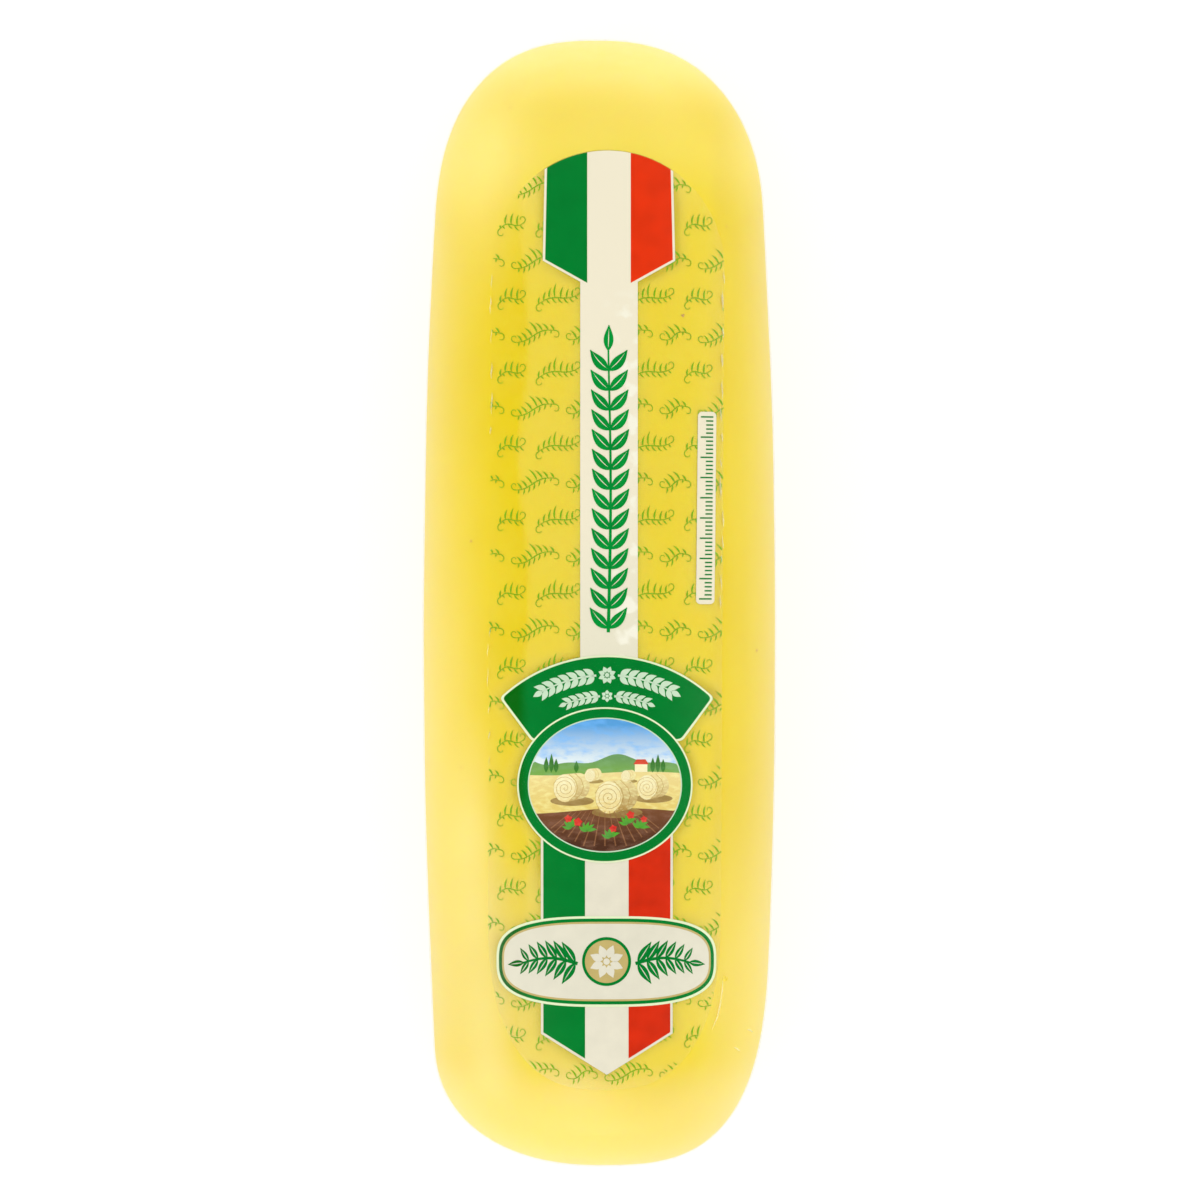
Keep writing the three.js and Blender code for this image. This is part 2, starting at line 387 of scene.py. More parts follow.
def flat_shape(outline, bm=None):
    """A flat face with that outline, in a new mesh or added to one."""
    bm = bm or bmesh.new()
    made = bmesh.ops.create_circle(bm, cap_ends=True, radius=1, segments=len(outline))
    for vert, point in zip(made["verts"], outline):
        vert.co = point.to_3d()
    return bm


def draped(bm, lift, thickness):
    """Drapes fine flat work over the cheese, and gives it a thickness below its lift."""
    bm.normal_update()
    bmesh.ops.reverse_faces(bm, faces=[face for face in bm.faces if face.normal.z < 0])
    for vert in bm.verts:
        vert.co = crown(vert.co.x, vert.co.y, lift)
    bm.normal_update()
    bmesh.ops.solidify(bm, geom=bm.faces[:], thickness=thickness)
    return bm


# ---- Flecks in the rind ----
# A few specks of toasted curd, pressed into the rind in the mould, and one drop of clear butterfat on it.
FLECKS = (  # each one's place and its radius, in millimetres
    (30.7, 105.7, 0.6),
    (-47.5, 22.6, 0.42),
    (58.4, -17.8, 0.4),
    (-51, -61, 0.3),
    (47, 139, 0.3),
    (-33, 183, 0.3),
)
FAT_DROP = (46.4, -139.0, 1.0)


def lobed(x, y, radius, swing, corners=18):
    """A small uneven blot, in millimetres."""
    outline = []
    for step in range(corners):
        angle = math.tau * step / corners
        reach = radius * MM * (1 + swing * math.sin(3 * angle + x) + 0.6 * swing * math.sin(5 * angle + y))
        outline.append(Vector((x * MM + reach * math.cos(angle), y * MM + reach * math.sin(angle))))
    return outline


def blot_finish(name, colour):
    material, face, add, join = new_material(name)
    tone = spread(add, join, grain(add, join, 0.6 * MM), 0.35, 0.65)
    pale = tuple(min(1.5 * channel, 1) for channel in colour)
    join(colour_mix(add, join, tone, colour, pale), face.inputs["Base Color"])
    face.inputs["Roughness"].default_value = 0.5
    return material


flecks = bmesh.new()
for x, y, radius in FLECKS:
    flat_shape(lobed(x, y, radius, 0.25), flecks)
toasted = blot_finish("toasted_curd", (0.48, 0.26, 0.03))
add_piece("rind_flecks", draped(flecks, 0.05 * MM, 0.1 * MM), toasted, "cheese")
drop = flat_shape(lobed(*FAT_DROP, 0.12))
butterfat = blot_finish("butterfat", (0.72, 0.52, 0.004))
add_piece("butterfat_drop", draped(drop, 0.07 * MM, 0.12 * MM), butterfat, "cheese")

# ---- The label film ----
# A sheet of clear film, cut to the log's plan, with a round head and a squarer round foot. It lies loose on
# the cheese, and the shrunk bag presses it down. The sheet itself is made once its prints are, further down.
LABEL_HALF = 43 * MM
HEAD_ARC = {"centre": (3.1 * MM, 123.6 * MM), "reach": 43 * MM, "power": 2}
FOOT_ARC = {"centre": (1.8 * MM, -111.6 * MM), "reach": 68 * MM, "power": 2.6}
SHEET_LIFT = 0.10 * MM  # heights above the cheese, of each layer's upper side
PATTERN_LIFT = 0.14 * MM
GROUND_LIFT = 0.19 * MM
FIELD_LIFT = 0.24 * MM
ORNAMENT_LIFT = 0.29 * MM
LAYER = 0.03 * MM  # the thickness of a printed layer


def label_outline():
    head = super_arc(HEAD_ARC["centre"], (LABEL_HALF, HEAD_ARC["reach"]), HEAD_ARC["power"], 0, 180, 40)
    foot = super_arc(FOOT_ARC["centre"], (LABEL_HALF, FOOT_ARC["reach"]), FOOT_ARC["power"], 180, 360, 48)
    return head + foot


def laid(bm, lift, cell=(2.5 * MM, 4 * MM), thickness=LAYER):
    """Lays flat work on the cheese: cut into cells fine enough to bend, draped, and given a thickness."""
    bmesh.ops.triangulate(bm, faces=bm.faces)
    for axis, size in enumerate(cell):
        normal = Vector((axis == 0, axis == 1, 0))
        low = min(vert.co[axis] for vert in bm.verts)
        high = max(vert.co[axis] for vert in bm.verts)
        for line in range(math.ceil(low / size), math.ceil(high / size)):
            everything = bm.verts[:] + bm.edges[:] + bm.faces[:]
            cut = normal * line * size
            bmesh.ops.bisect_plane(bm, geom=everything, dist=1e-7, plane_co=cut, plane_no=normal)
    return draped(bm, lift, thickness)


def label_middle(y):
    """The label's middle line between its round ends. The label lies a little askew."""
    share = (y - FOOT_ARC["centre"][1]) / (HEAD_ARC["centre"][1] - FOOT_ARC["centre"][1])
    return FOOT_ARC["centre"][0] + share * (HEAD_ARC["centre"][0] - FOOT_ARC["centre"][0])


def inside_label(x, y):
    """Roughly how far inside the label's edge a place of the plan lies. It is negative outside it."""
    for arc, beyond in ((HEAD_ARC, y - HEAD_ARC["centre"][1]), (FOOT_ARC, FOOT_ARC["centre"][1] - y)):
        if beyond > 0:
            power = arc["power"]
            across = abs(x - arc["centre"][0]) / LABEL_HALF
            return (1 - (across**power + (beyond / arc["reach"]) ** power) ** (1 / power)) * LABEL_HALF
    return LABEL_HALF - abs(x - label_middle(y))


# ---- The sprig pattern ----
# Fine green feathery sprigs, printed in rows over the whole label film and cut off at its edges. Long and
# short ones take turns along a row, and every other row is shifted by half a step and mirrored.
ROW_PITCH = 13.6 * MM
SPRIG_PITCH = 17.2 * MM
SPRIG_TILT = math.radians(15)
PATTERN_START = (2 * MM, 3 * MM)
LONG_SPRIG, SHORT_SPRIG = 7, 4  # how many leaflets each has on either side
LEAFLET_PITCH = 2.1 * MM
PEN = 0.32 * MM


def stroke(bm, path, breadths):
    """A flat stroke along a path of the plan, as broad at each of its points as breadths says."""
    made = bmesh.ops.create_grid(bm, x_segments=len(path) - 1, y_segments=1, size=1)["verts"]
    for step, here in enumerate(path):
        ahead = path[min(step + 1, len(path) - 1)] - path[max(step - 1, 0)]
        side = Vector((-ahead.y, ahead.x)).normalized() * breadths[step] / 2
        made[step].co = (here - side).to_3d()
        made[step + len(path)].co = (here + side).to_3d()


def leaf(bm, base, tip, breadth, bow=0.0, steps=6):
    """A pointed leaf from its base to its tip, broadest before its middle, bowed to its left."""
    across = Vector((base.y - tip.y, tip.x - base.x))
    path, breadths = [], []
    for step in range(steps + 1):
        share = step / steps
        path.append(base.lerp(tip, share) + across * bow * 4 * share * (1 - share))
        breadths.append(breadth * max(math.sin(math.pi * share**0.8), 0.06))
    stroke(bm, path, breadths)


def pointing(angle):
    """A step of length 1 over the plan, towards that angle."""
    return Vector((math.cos(angle), math.sin(angle)))


def curl(bm, start, heading, radius, turn, breadth, steps=10):
    """A tendril that leaves start along a heading, in degrees, and winds up through a turn."""
    path, here, angle = [start], start, math.radians(heading)
    arc = math.radians(turn) / steps
    for step in range(steps):
        tightening = 1 - 0.75 * step / steps
        here = here + pointing(angle) * abs(arc) * radius * tightening
        angle += arc
        path.append(here)
    stroke(bm, path, [breadth * (1 - 0.5 * step / steps) for step in range(steps + 1)])


def sprig(bm, leaflets, place, tilt, mirrored):
    """One sprig: a bowed stem, slender leaflets on both of its sides, and a tendril at either end."""
    before = set(bm.verts)
    half = leaflets * LEAFLET_PITCH / 2
    steps = 2 * leaflets
    stem = []
    for step in range(steps + 1):
        share = step / steps
        stem.append(Vector((half * (2 * share - 1), 0.9 * MM * math.sin(math.tau * share * 0.9))))
    stroke(bm, stem, [PEN * (0.5 + 0.6 * math.sin(math.pi * step / steps)) for step in range(steps + 1)])
    for number in range(leaflets):
        size = math.sin(math.pi * (0.16 + 0.76 * number / leaflets))
        above = stem[2 * number]
        below = stem[2 * number + 1]
        rise = 3.9 if number % 3 else 5.0
        leaf(bm, above, above + Vector((1.9, rise)) * size * MM, 0.60 * MM, bow=0.10, steps=5)
        leaf(bm, below, below + Vector((1.3, -2.5)) * size * MM, 0.48 * MM, bow=-0.10, steps=4)
    curl(bm, stem[-1], 20, 1.5 * MM, 290, PEN)
    curl(bm, stem[0], 200, 1.7 * MM, 260, PEN)
    turn = Matrix.Rotation(tilt, 3, "Z") @ Matrix.Diagonal((-1 if mirrored else 1, 1, 1))
    for vert in set(bm.verts) - before:
        vert.co = turn @ vert.co + place.to_3d()


def rising(add, join, axis, low, high):
    """A value that goes from 0 at one level of an axis to 1 at another, fixed to the piece."""
    axes = add("ShaderNodeSeparateXYZ")
    join(add("ShaderNodeTexCoord").outputs["Object"], axes.inputs["Vector"])
    return spread(add, join, axes.outputs[axis], low, high)


def satin(add, join, face, cloud, specular=0.02):
    """The satin face of dry ink, a little uneven."""
    join(spread(add, join, cloud, 0.3, 0.7, 0.42, 0.55), face.inputs["Roughness"])
    face.inputs["Specular IOR Level"].default_value = specular


def ink(name, colour, clouding=0.06, outside_reflection=None):
    """Printing ink: its colour slightly clouded, with a satin face. It may be deeper on the label's left
    margin, outside a soft box's painted reflection.
    """
    material, face, add, join = new_material(name)
    cloud = grain(add, join, 6 * MM, detail=4)
    thin = tuple(min(channel * (1 + clouding), 1) for channel in colour)
    thick = tuple(channel * (1 - clouding) for channel in colour)
    tone = colour_mix(add, join, spread(add, join, cloud, 0.3, 0.7), thick, thin)
    if outside_reflection:
        # Painted reflection: the deeper tone left of this edge leaves the usual colour right of it to stand
        # for a soft box's reflection.
        tone = colour_mix(add, join, rising(add, join, "X", -30 * MM, -26 * MM), outside_reflection, tone)
    join(tone, face.inputs["Base Color"])
    join(relief(add, join, cloud, 0.02 * MM), face.inputs["Normal"])
    satin(add, join, face, cloud)
    return material


def print_strokes(name, bm, lift, colour, slot):
    """Prints fine work on the label."""
    add_piece(name, draped(bm, lift, LAYER), colour, slot)


pattern = bmesh.new()
for row in range(-13, 13):
    odd = row % 2 == 1
    for step in range(-3, 4):
        x = PATTERN_START[0] + step * SPRIG_PITCH + (SPRIG_PITCH / 2 if odd else 0)
        place = Vector((x, row * ROW_PITCH + PATTERN_START[1]))
        if inside_label(*place) > -8 * MM:
            sprig(pattern, LONG_SPRIG if (row + step) % 2 else SHORT_SPRIG, place, SPRIG_TILT, odd)
bmesh.ops.delete(
    pattern,
    geom=[face for face in pattern.faces if inside_label(*face.calc_center_median().xy) < 0.4 * MM],
    context="FACES",
)
leaf_green = ink("fine_leaf_green", (0.19, 0.46, 0.010))
print_strokes("sprig_pattern", pattern, PATTERN_LIFT, leaf_green, "print_green")

# ---- The centre strip and the head banner's ground ----
# An opaque cream under-print: a long strip down the label's middle that widens at the head into the ground
# of a striped banner, where it shows as the banner's middle stripe and as a hairline round its sides. Down
# its right side it has come off the cheese in soft pale blots.
STRIP_X = 3.5 * MM
STRIP_HALF = 10.55 * MM
STRIP_FOOT = -24 * MM
STRIPE_HALF = 8 * MM  # half the width of a banner's middle stripe
OUTLINE = 0.9 * MM  # how far a cream ground shows round the colours on it
HEAD_FLAG = {"half_top": 22.7 * MM, "half_bottom": 23.4 * MM, "shoulder": 126.2 * MM, "point": 117.5 * MM}


def head_arc_points(x_from, x_to, steps=8):
    """Points along the label's round head, just inside its edge."""
    centre_x, centre_y = HEAD_ARC["centre"]
    radius = HEAD_ARC["reach"] - 0.3 * MM
    points = []
    for step in range(steps + 1):
        x = x_from + (x_to - x_from) * step / steps
        points.append(Vector((x, centre_y + math.sqrt(radius**2 - (x - centre_x) ** 2))))
    return points


def mirrored_about(x, points):
    """The same outline on the other side of a line along the log."""
    return [Vector((2 * x - point.x, point.y)) for point in reversed(points)]


slant = (HEAD_FLAG["shoulder"] - HEAD_FLAG["point"]) / (HEAD_FLAG["half_bottom"] - STRIPE_HALF)
neck = HEAD_FLAG["point"] + slant * (STRIP_HALF - STRIPE_HALF) - OUTLINE * math.hypot(1, slant)
left_side = [
    Vector((STRIP_X - HEAD_FLAG["half_bottom"] - OUTLINE, HEAD_FLAG["shoulder"] - 0.5 * OUTLINE)),
    Vector((STRIP_X - STRIP_HALF, neck)),
    Vector((STRIP_X - STRIP_HALF, STRIP_FOOT)),
]
half_span = HEAD_FLAG["half_top"] + OUTLINE
strip_outline = (
    head_arc_points(STRIP_X + half_span, STRIP_X - half_span, 24)
    + left_side
    + mirrored_about(STRIP_X, left_side)
)


def print_field(name, outline, lift, colour, slot, *nodes):
    """Prints a field of colour with that outline on the label."""
    add_piece(name, laid(flat_shape(outline), lift), colour, slot, *nodes)


def product(add, join, first, second):
    node = add("ShaderNodeMath", operation="MULTIPLY")
    join(first, node.inputs[0])
    join(second, node.inputs[1])
    return node.outputs["Value"]


strip_cream, face, add, join = new_material("strip_cream")
towards_head = rising(add, join, "Y", STRIP_FOOT, 30 * MM)
plain = colour_mix(add, join, towards_head, (0.80, 0.765, 0.585), (0.88, 0.815, 0.625))
blots = spread(add, join, grain(add, join, 7 * MM), 0.50, 0.60)
loose_side = rising(add, join, "X", STRIP_X - 3 * MM, STRIP_X + 5 * MM)
below_flag = rising(add, join, "Y", 116 * MM, 104 * MM)
loose = product(add, join, blots, product(add, join, loose_side, below_flag))
join(colour_mix(add, join, loose, plain, (0.93, 0.90, 0.74)), face.inputs["Base Color"])
satin(add, join, face, grain(add, join, 6 * MM))

print_field("strip_ground", strip_outline, GROUND_LIFT, strip_cream, "print_cream", "centre_strip")

# ---- The head banner's coloured stripes ----
# Two broad stripes, green on the left and red on the right, printed over the cream. Their feet slant up to
# the banner's outer edges.
# The green's deeper tone on the label's left margin marks the edge of a painted soft box reflection.
green = ink("banner_green", (0.0, 0.205, 0.026), outside_reflection=(0.0, 0.135, 0.002))
red = ink("banner_red", (0.77, 0.035, 0.004))


def head_stripe(side):
    inner = STRIP_X + side * STRIPE_HALF
    outer = STRIP_X + side * HEAD_FLAG["half_top"]
    return head_arc_points(inner, outer) + [
        Vector((STRIP_X + side * HEAD_FLAG["half_bottom"], HEAD_FLAG["shoulder"])),
        Vector((inner, HEAD_FLAG["point"])),
    ]


for side, colour, name in ((-1, green, "green"), (1, red, "red")):
    slot, node = f"print_{name}", f"head_flag_{name}"
    print_field(f"head_stripe_{name}", head_stripe(side), FIELD_LIFT, colour, slot, node)

# ---- The strip's branch ----
# A bold green laurel branch that climbs the strip, with broad paired leaves whose midribs are left unprinted.
BRANCH_FOOT = -11 * MM
BRANCH_HEAD = 102 * MM
LEAF_PAIRS = 14
LAUREL_REACH = (6.8 * MM, 7.6 * MM)
TOP_LEAF = 8 * MM
SPINE_STEPS = 40
RIB = 0.3 * MM


def berry(bm, place, radius):
    flat_shape(loop(place, (radius, radius), 20), bm)


def branch_point(y):
    return Vector((STRIP_X + 0.6 * MM * math.sin(y / (26 * MM)), y))


def ribbed_leaf(leaves, ribs, base, tip, breadth, bow=0.0, steps=10):
    """A leaf, and the midrib that runs along most of it."""
    leaf(leaves, base, tip, breadth, bow, steps)
    leaf(ribs, base.lerp(tip, 0.12), base.lerp(tip, 0.86), RIB, bow, steps)


branch = bmesh.new()
branch_ribs = bmesh.new()
step_up = (BRANCH_HEAD - BRANCH_FOOT - 11 * MM) / LEAF_PAIRS
spine_length = BRANCH_HEAD - BRANCH_FOOT - TOP_LEAF
shares = [step / SPINE_STEPS for step in range(SPINE_STEPS + 1)]
spine = [branch_point(BRANCH_FOOT + spine_length * share) for share in shares]
stroke(branch, spine, [(1.2 - 0.6 * share) * MM for share in shares])
for pair in range(LEAF_PAIRS):
    foot = branch_point(BRANCH_FOOT + 1.5 * MM + pair * step_up)
    for side in (-1, 1):
        reach = Vector((side * LAUREL_REACH[0], LAUREL_REACH[1]))
        ribbed_leaf(branch, branch_ribs, foot, foot + reach, 4.1 * MM, bow=-0.05 * side)
ribbed_leaf(branch, branch_ribs, spine[-1] - Vector((0, 1.5 * MM)), Vector((STRIP_X, BRANCH_HEAD)), 3.6 * MM)
bright_green = ink("branch_green", (0.0, 0.275, 0.035), clouding=0.12)
cream = ink("cream_ink", (0.85, 0.79, 0.59), clouding=0.02)
print_strokes("strip_branch", branch, ORNAMENT_LIFT, bright_green, "print_green")
print_strokes("branch_midribs", branch_ribs, ORNAMENT_LIFT + LAYER, cream, "print_cream")

# ---- The foot banner ----
# The same three stripes under the picture and the badge, on a cream ground that shows as a hairline. Together
# they end in a point.
FOOT_FLAG = {"x": 2.7 * MM, "half": 23.3 * MM, "head": -84 * MM, "shoulder": -158.2 * MM, "tip": -172.8 * MM}
foot_slope = (FOOT_FLAG["shoulder"] - FOOT_FLAG["tip"]) / FOOT_FLAG["half"]


def foot_stripe(start, stop, margin=0.0):
    """One stripe's outline between two distances from the banner's middle line."""

    def lower_edge(offset):
        y = FOOT_FLAG["tip"] + foot_slope * abs(offset) - margin * math.hypot(1, foot_slope)
        return Vector((FOOT_FLAG["x"] + offset, y))

    tip = [lower_edge(0)] if start < 0 < stop else []
    upper = [Vector((FOOT_FLAG["x"] + offset, FOOT_FLAG["head"])) for offset in (stop, start)]
    return upper + [lower_edge(start), *tip, lower_edge(stop)]


foot_half = FOOT_FLAG["half"]
foot_ground = foot_stripe(-foot_half - OUTLINE, foot_half + OUTLINE, OUTLINE)
foot_cream = ink("foot_cream", (0.795, 0.75, 0.595), clouding=0.03)
foot_red = ink("foot_red", (0.66, 0.027, 0.005), clouding=0.1)
nodes = ("foot_flag_cream_upper", "foot_flag_cream_lower")
print_field("foot_banner_ground", foot_ground, GROUND_LIFT, foot_cream, "print_cream", *nodes)
for start, stop, colour, name in (
    (-foot_half, -STRIPE_HALF, green, "green"),
    (STRIPE_HALF, foot_half, foot_red, "red"),
):
    stripe = foot_stripe(start, stop)
    nodes = (f"foot_flag_{name}_upper", f"foot_flag_{name}_lower")
    print_field(f"foot_stripe_{name}", stripe, FIELD_LIFT, colour, f"print_{name}", *nodes)

# ---- The title banner ----
# A green arched banner with rounded corners on a cream ground. Two pale garlands of leaves run along its
# arch, each of them from a rosette in the middle.
TITLE = {
    "centre": (2.8 * MM, -76.3 * MM),  # of the circle that its arched head follows
    "radius": 56.2 * MM,
    "half_angle": 43,
    "corner": (27 * MM, 26 * MM),  # of its straight foot, from that centre
}
TITLE_LIFT = FIELD_LIFT + 2 * LAYER  # over the strip and the head of the foot banner
CORNER_RADIUS = 1.5 * MM


def corner(before, tip, after, steps=5):
    """Points that round off a corner, between a point before it and a point after it."""
    points = []
    for step in range(steps + 1):
        share = step / steps
        points.append(before.lerp(tip, share).lerp(tip.lerp(after, share), share))
    return points


def title_outline(margin):
    centre = Vector(TITLE["centre"])
    radius = TITLE["radius"] + margin
    spare = math.degrees(CORNER_RADIUS / radius)
    half = TITLE["half_angle"] + math.degrees(margin / radius)
    arch = super_arc(centre, (radius, radius), 2, 90 - half + spare, 90 + half - spare, 36)
    upper = super_arc(centre, (radius, radius), 2, 90 - half, 90 + half, 1)
    low_right = centre + Vector((TITLE["corner"][0] + 0.8 * margin, TITLE["corner"][1] - margin))
    low_left = centre + Vector((-TITLE["corner"][0] - 0.8 * margin, TITLE["corner"][1] - margin))

    def towards(start, stop):
        return start + (stop - start).normalized() * CORNER_RADIUS

    outline = corner(towards(upper[0], low_right), upper[0], arch[0]) + arch[1:-1]
    outline += corner(arch[-1], upper[1], towards(upper[1], low_left))
    outline += corner(towards(low_left, upper[1]), low_left, towards(low_left, low_right))
    return outline + corner(towards(low_right, low_left), low_right, towards(low_right, upper[0]))


outline_cream = ink("outline_cream", (0.80, 0.89, 0.57), clouding=0.02)
print_field("title_ground", title_outline(0.8 * OUTLINE), TITLE_LIFT, outline_cream, "print_cream")
print_field("title_field", title_outline(0), TITLE_LIFT + LAYER, green, "print_green", "title_banner")


def on_arch(radius, degrees):
    """A place of the banner, from the arch's centre and clockwise from its top."""
    return Vector(TITLE["centre"]) + pointing(math.radians(90 - degrees)) * radius


garland = bmesh.new()


def garland_arm(radius, side, start, stop, pitch, reach, breadth, steps=24):
    """One arm of a garland: a thinning vine with slanting leaf pairs, between two angles on the arch."""
    vine = [on_arch(radius, side * (start + (stop - start) * step / steps)) for step in range(steps + 1)]
    stroke(garland, vine, [(0.8 - 0.4 * step / steps) * MM for step in range(steps + 1)])
    for number in range(math.floor((stop - start) / pitch)):
        degrees = start + 0.3 * pitch + number * pitch
        for swing in (-1, 1):
            foot = on_arch(radius, side * degrees)
            tip = on_arch(radius + swing * reach, side * (degrees + 1.15 * pitch))
            leaf(garland, foot, tip, breadth, bow=0.06 * swing * side, steps=8)
    leaf(garland, vine[-2], on_arch(radius, side * (stop + pitch)), breadth, steps=8)


def rosette(bm, heart, petals, inner, outer, breadth):
    for petal in range(petals):
        reach = pointing(math.tau * (petal + 0.5) / petals)
        leaf(bm, heart + reach * inner, heart + reach * outer, breadth, steps=8)
    berry(bm, heart, inner * 0.8)


UPPER_GARLAND, LOWER_GARLAND = 49.6 * MM, 41.9 * MM  # how far from the arch's centre each runs
for side in (-1, 1):
    garland_arm(UPPER_GARLAND, side, 4.6, 29.5, 3.5, 2.9 * MM, 2.1 * MM)
    garland_arm(LOWER_GARLAND, side, 3.6, 21.5, 3.4, 2.2 * MM, 1.6 * MM)
rosette(garland, on_arch(UPPER_GARLAND, 0), 8, 1.0 * MM, 3.3 * MM, 1.7 * MM)
rosette(garland, on_arch(LOWER_GARLAND, 0), 6, 0.7 * MM, 2.2 * MM, 1.4 * MM)
pale_green = ink("garland_green", (0.60, 0.77, 0.56), clouding=0.04)
print_strokes("title_garland", garland, TITLE_LIFT + 2 * LAYER, pale_green, "print_cream")

# ---- The picture and its ring ----
# An oval printed picture in a green ring with cream hairlines: a mown field with hay bales under a summer
# sky, low hills, a farmhouse and trees, and dark furrows with poppies in front.
RING_CENTRE = (2 * MM, -67.1 * MM)
RING_OUTER = (31.5 * MM, 28.0 * MM)
RING_INNER = (28.2 * MM, 24.8 * MM)
FINE_OUTLINE = 0.62 * MM
HAIRLINE = 0.45 * MM
RING_LIFT = TITLE_LIFT + 2 * LAYER
PICTURE = (RING_INNER[0] - HAIRLINE, RING_INNER[1] - HAIRLINE)


def oval(radii, margin=0.0):
    return loop(RING_CENTRE, (radii[0] + margin, radii[1] + margin), 90)


ring_layers = (
    ("ring_ground", oval(RING_OUTER, FINE_OUTLINE), outline_cream, "print_cream", ()),
    ("ring_band", oval(RING_OUTER), green, "print_green", ("picture_ring",)),
    ("ring_hairline", oval(RING_INNER), pale_green, "print_cream", ()),
)
for level, (name, outline, colour, slot, nodes) in enumerate(ring_layers):
    print_field(name, outline, RING_LIFT + level * LAYER, colour, slot, *nodes)

PICTURE_LIFT = RING_LIFT + 3 * LAYER
PICTURE_STEP = 0.010 * MM  # between the picture's own layers
PICTURE_LAYER = 0.008 * MM
PICTURE_CELL = (2.5 * MM, 2.5 * MM)


def picture_ink(name, upper, lower, top, bottom, size=5 * MM, clouding=0.1):
    """Ink that blends from one colour to another between two heights of the picture, with soft clouds."""
    material, face, add, join = new_material(name)
    rise = rising(add, join, "Y", RING_CENTRE[1] + bottom, RING_CENTRE[1] + top)
    blend = colour_mix(add, join, rise, lower, upper)
    cloud = grain(add, join, size, detail=4, stretch=(1, 2.2, 1))
    tint = tuple(min(channel * 1.25 + 0.05, 1) for channel in upper)
    soft = spread(add, join, cloud, 0.45, 0.7, 0, clouding * 5)
    join(colour_mix(add, join, soft, blend, tint), face.inputs["Base Color"])
    satin(add, join, face, cloud, specular=0.1)
    return material


def band(low, high, columns=56):
    """A band of the picture between two heights given across it, trimmed to the oval."""
    bm = bmesh.new()
    reach = PICTURE[0] * 0.9995  # just short of the oval's own points
    made = bmesh.ops.create_grid(bm, x_segments=columns, y_segments=6, size=1)["verts"]
    for vert in made:
        x = math.sin(vert.co.x * math.pi / 2) * reach
        rim = PICTURE[1] * math.sqrt(1 - (x / PICTURE[0]) ** 2)
        bottom = min(max(low(x), -rim), rim)
        top = min(max(high(x), -rim), rim)
        y = bottom + (max(top, bottom) - bottom) * (vert.co.y + 1) / 2
        vert.co = (RING_CENTRE[0] + x, RING_CENTRE[1] + y, 0)
    bmesh.ops.remove_doubles(bm, verts=made, dist=0.01 * MM)
    return bm


def hills(x):
    return (9.0 + 1.6 * math.sin(x / (6.5 * MM) + 0.8) + 0.8 * math.sin(x / (2.9 * MM))) * MM


def field_head(x):
    return (4.2 + 0.7 * math.sin(x / (11 * MM) + 0.4)) * MM


def furrow_head(x):
    return (-9.6 + 1.1 * math.sin(x / (12 * MM) + 1.0)) * MM


def add_layer(level, name, shape, colour, large=False):
    """Adds a layer of the picture at its level over the sky. One with large faces is cut into cells."""
    lift = PICTURE_LIFT + level * PICTURE_STEP
    if large:
        shape = laid(shape, lift, PICTURE_CELL, PICTURE_LAYER)
    else:
        shape = draped(shape, lift, PICTURE_LAYER)
    add_piece(name, shape, colour, "print_picture")


sky = picture_ink("sky_blue", (0.10, 0.36, 0.72), (0.78, 0.88, 0.90), 22 * MM, 9 * MM, clouding=0.12)
hill_green = picture_ink("hill_green", (0.16, 0.34, 0.12), (0.20, 0.42, 0.08), 10 * MM, 5 * MM)
straw = picture_ink("mown_straw", (0.88, 0.72, 0.30), (0.80, 0.62, 0.17), 5 * MM, -8 * MM, size=3 * MM)
soil = picture_ink("ploughed_soil", (0.20, 0.075, 0.028), (0.075, 0.025, 0.010), -9 * MM, -22 * MM)
print_field("picture_sky", oval(PICTURE), PICTURE_LIFT, sky, "print_picture", "picture_field")
add_layer(1, "picture_hills", band(lambda x: 0, hills), hill_green)
add_layer(2, "picture_stubble", band(lambda x: -20 * MM, field_head), straw)
add_layer(3, "picture_furrows", band(lambda x: -PICTURE[1], furrow_head), soil)


def in_picture(x, y):
    """A place of the picture, in millimetres from its middle."""
    return Vector((RING_CENTRE[0] + x * MM, RING_CENTRE[1] + y * MM))


# each bale's place and its size, in millimetres
BALES = ((-14.6, -1.2, 8.4), (1.4, -4.6, 9.8), (15.4, -0.9, 7.4), (-5.4, 3.6, 3.9), (7.6, 3.3, 3.4))
STRAP_BEND = ((0.94, 0), (0.5, 0.55), (0, 0.75), (-0.5, 0.55), (-0.94, 0))  # a strap's points: up and out
WHORL_STEPS = 44
bales = bmesh.new()
bale_ends = bmesh.new()
bale_lines = bmesh.new()
bale_shadows = bmesh.new()
for x, y, size in sorted(BALES, key=lambda bale: -bale[1]):
    heart = in_picture(x, y)
    tall = Vector((size * 0.5 * MM, size * 0.62 * MM))
    away = Vector((size * 0.62 * MM, size * 0.1 * MM))
    barrel = super_arc(heart, tall, 2, 90, 270, 14) + super_arc(heart + away, tall * 0.92, 2, -90, 90, 14)
    flat_shape(barrel, bales)
    flat_shape(loop(heart, tall * 0.97, 24), bale_ends)
    ground = heart + Vector((0.5 * away.x, -tall.y * 0.9))
    flat_shape(loop(ground, (tall.x * 1.9, tall.y * 0.34), 24), bale_shadows)
    whorl = []
    for step in range(WHORL_STEPS + 1):
        share = step / WHORL_STEPS
        whorl.append(heart + Matrix.Rotation(share * 3.2 * math.tau, 2) @ Vector((0, tall.y * 0.86 * share)))
    stroke(bale_lines, whorl, [0.017 * size * MM] * len(whorl))
    for along in (0.3, 0.7):
        strap = [heart + away * along + Vector((tall.x * out, tall.y * up)) for up, out in STRAP_BEND]
        stroke(bale_lines, strap, [0.02 * size * MM] * len(strap))
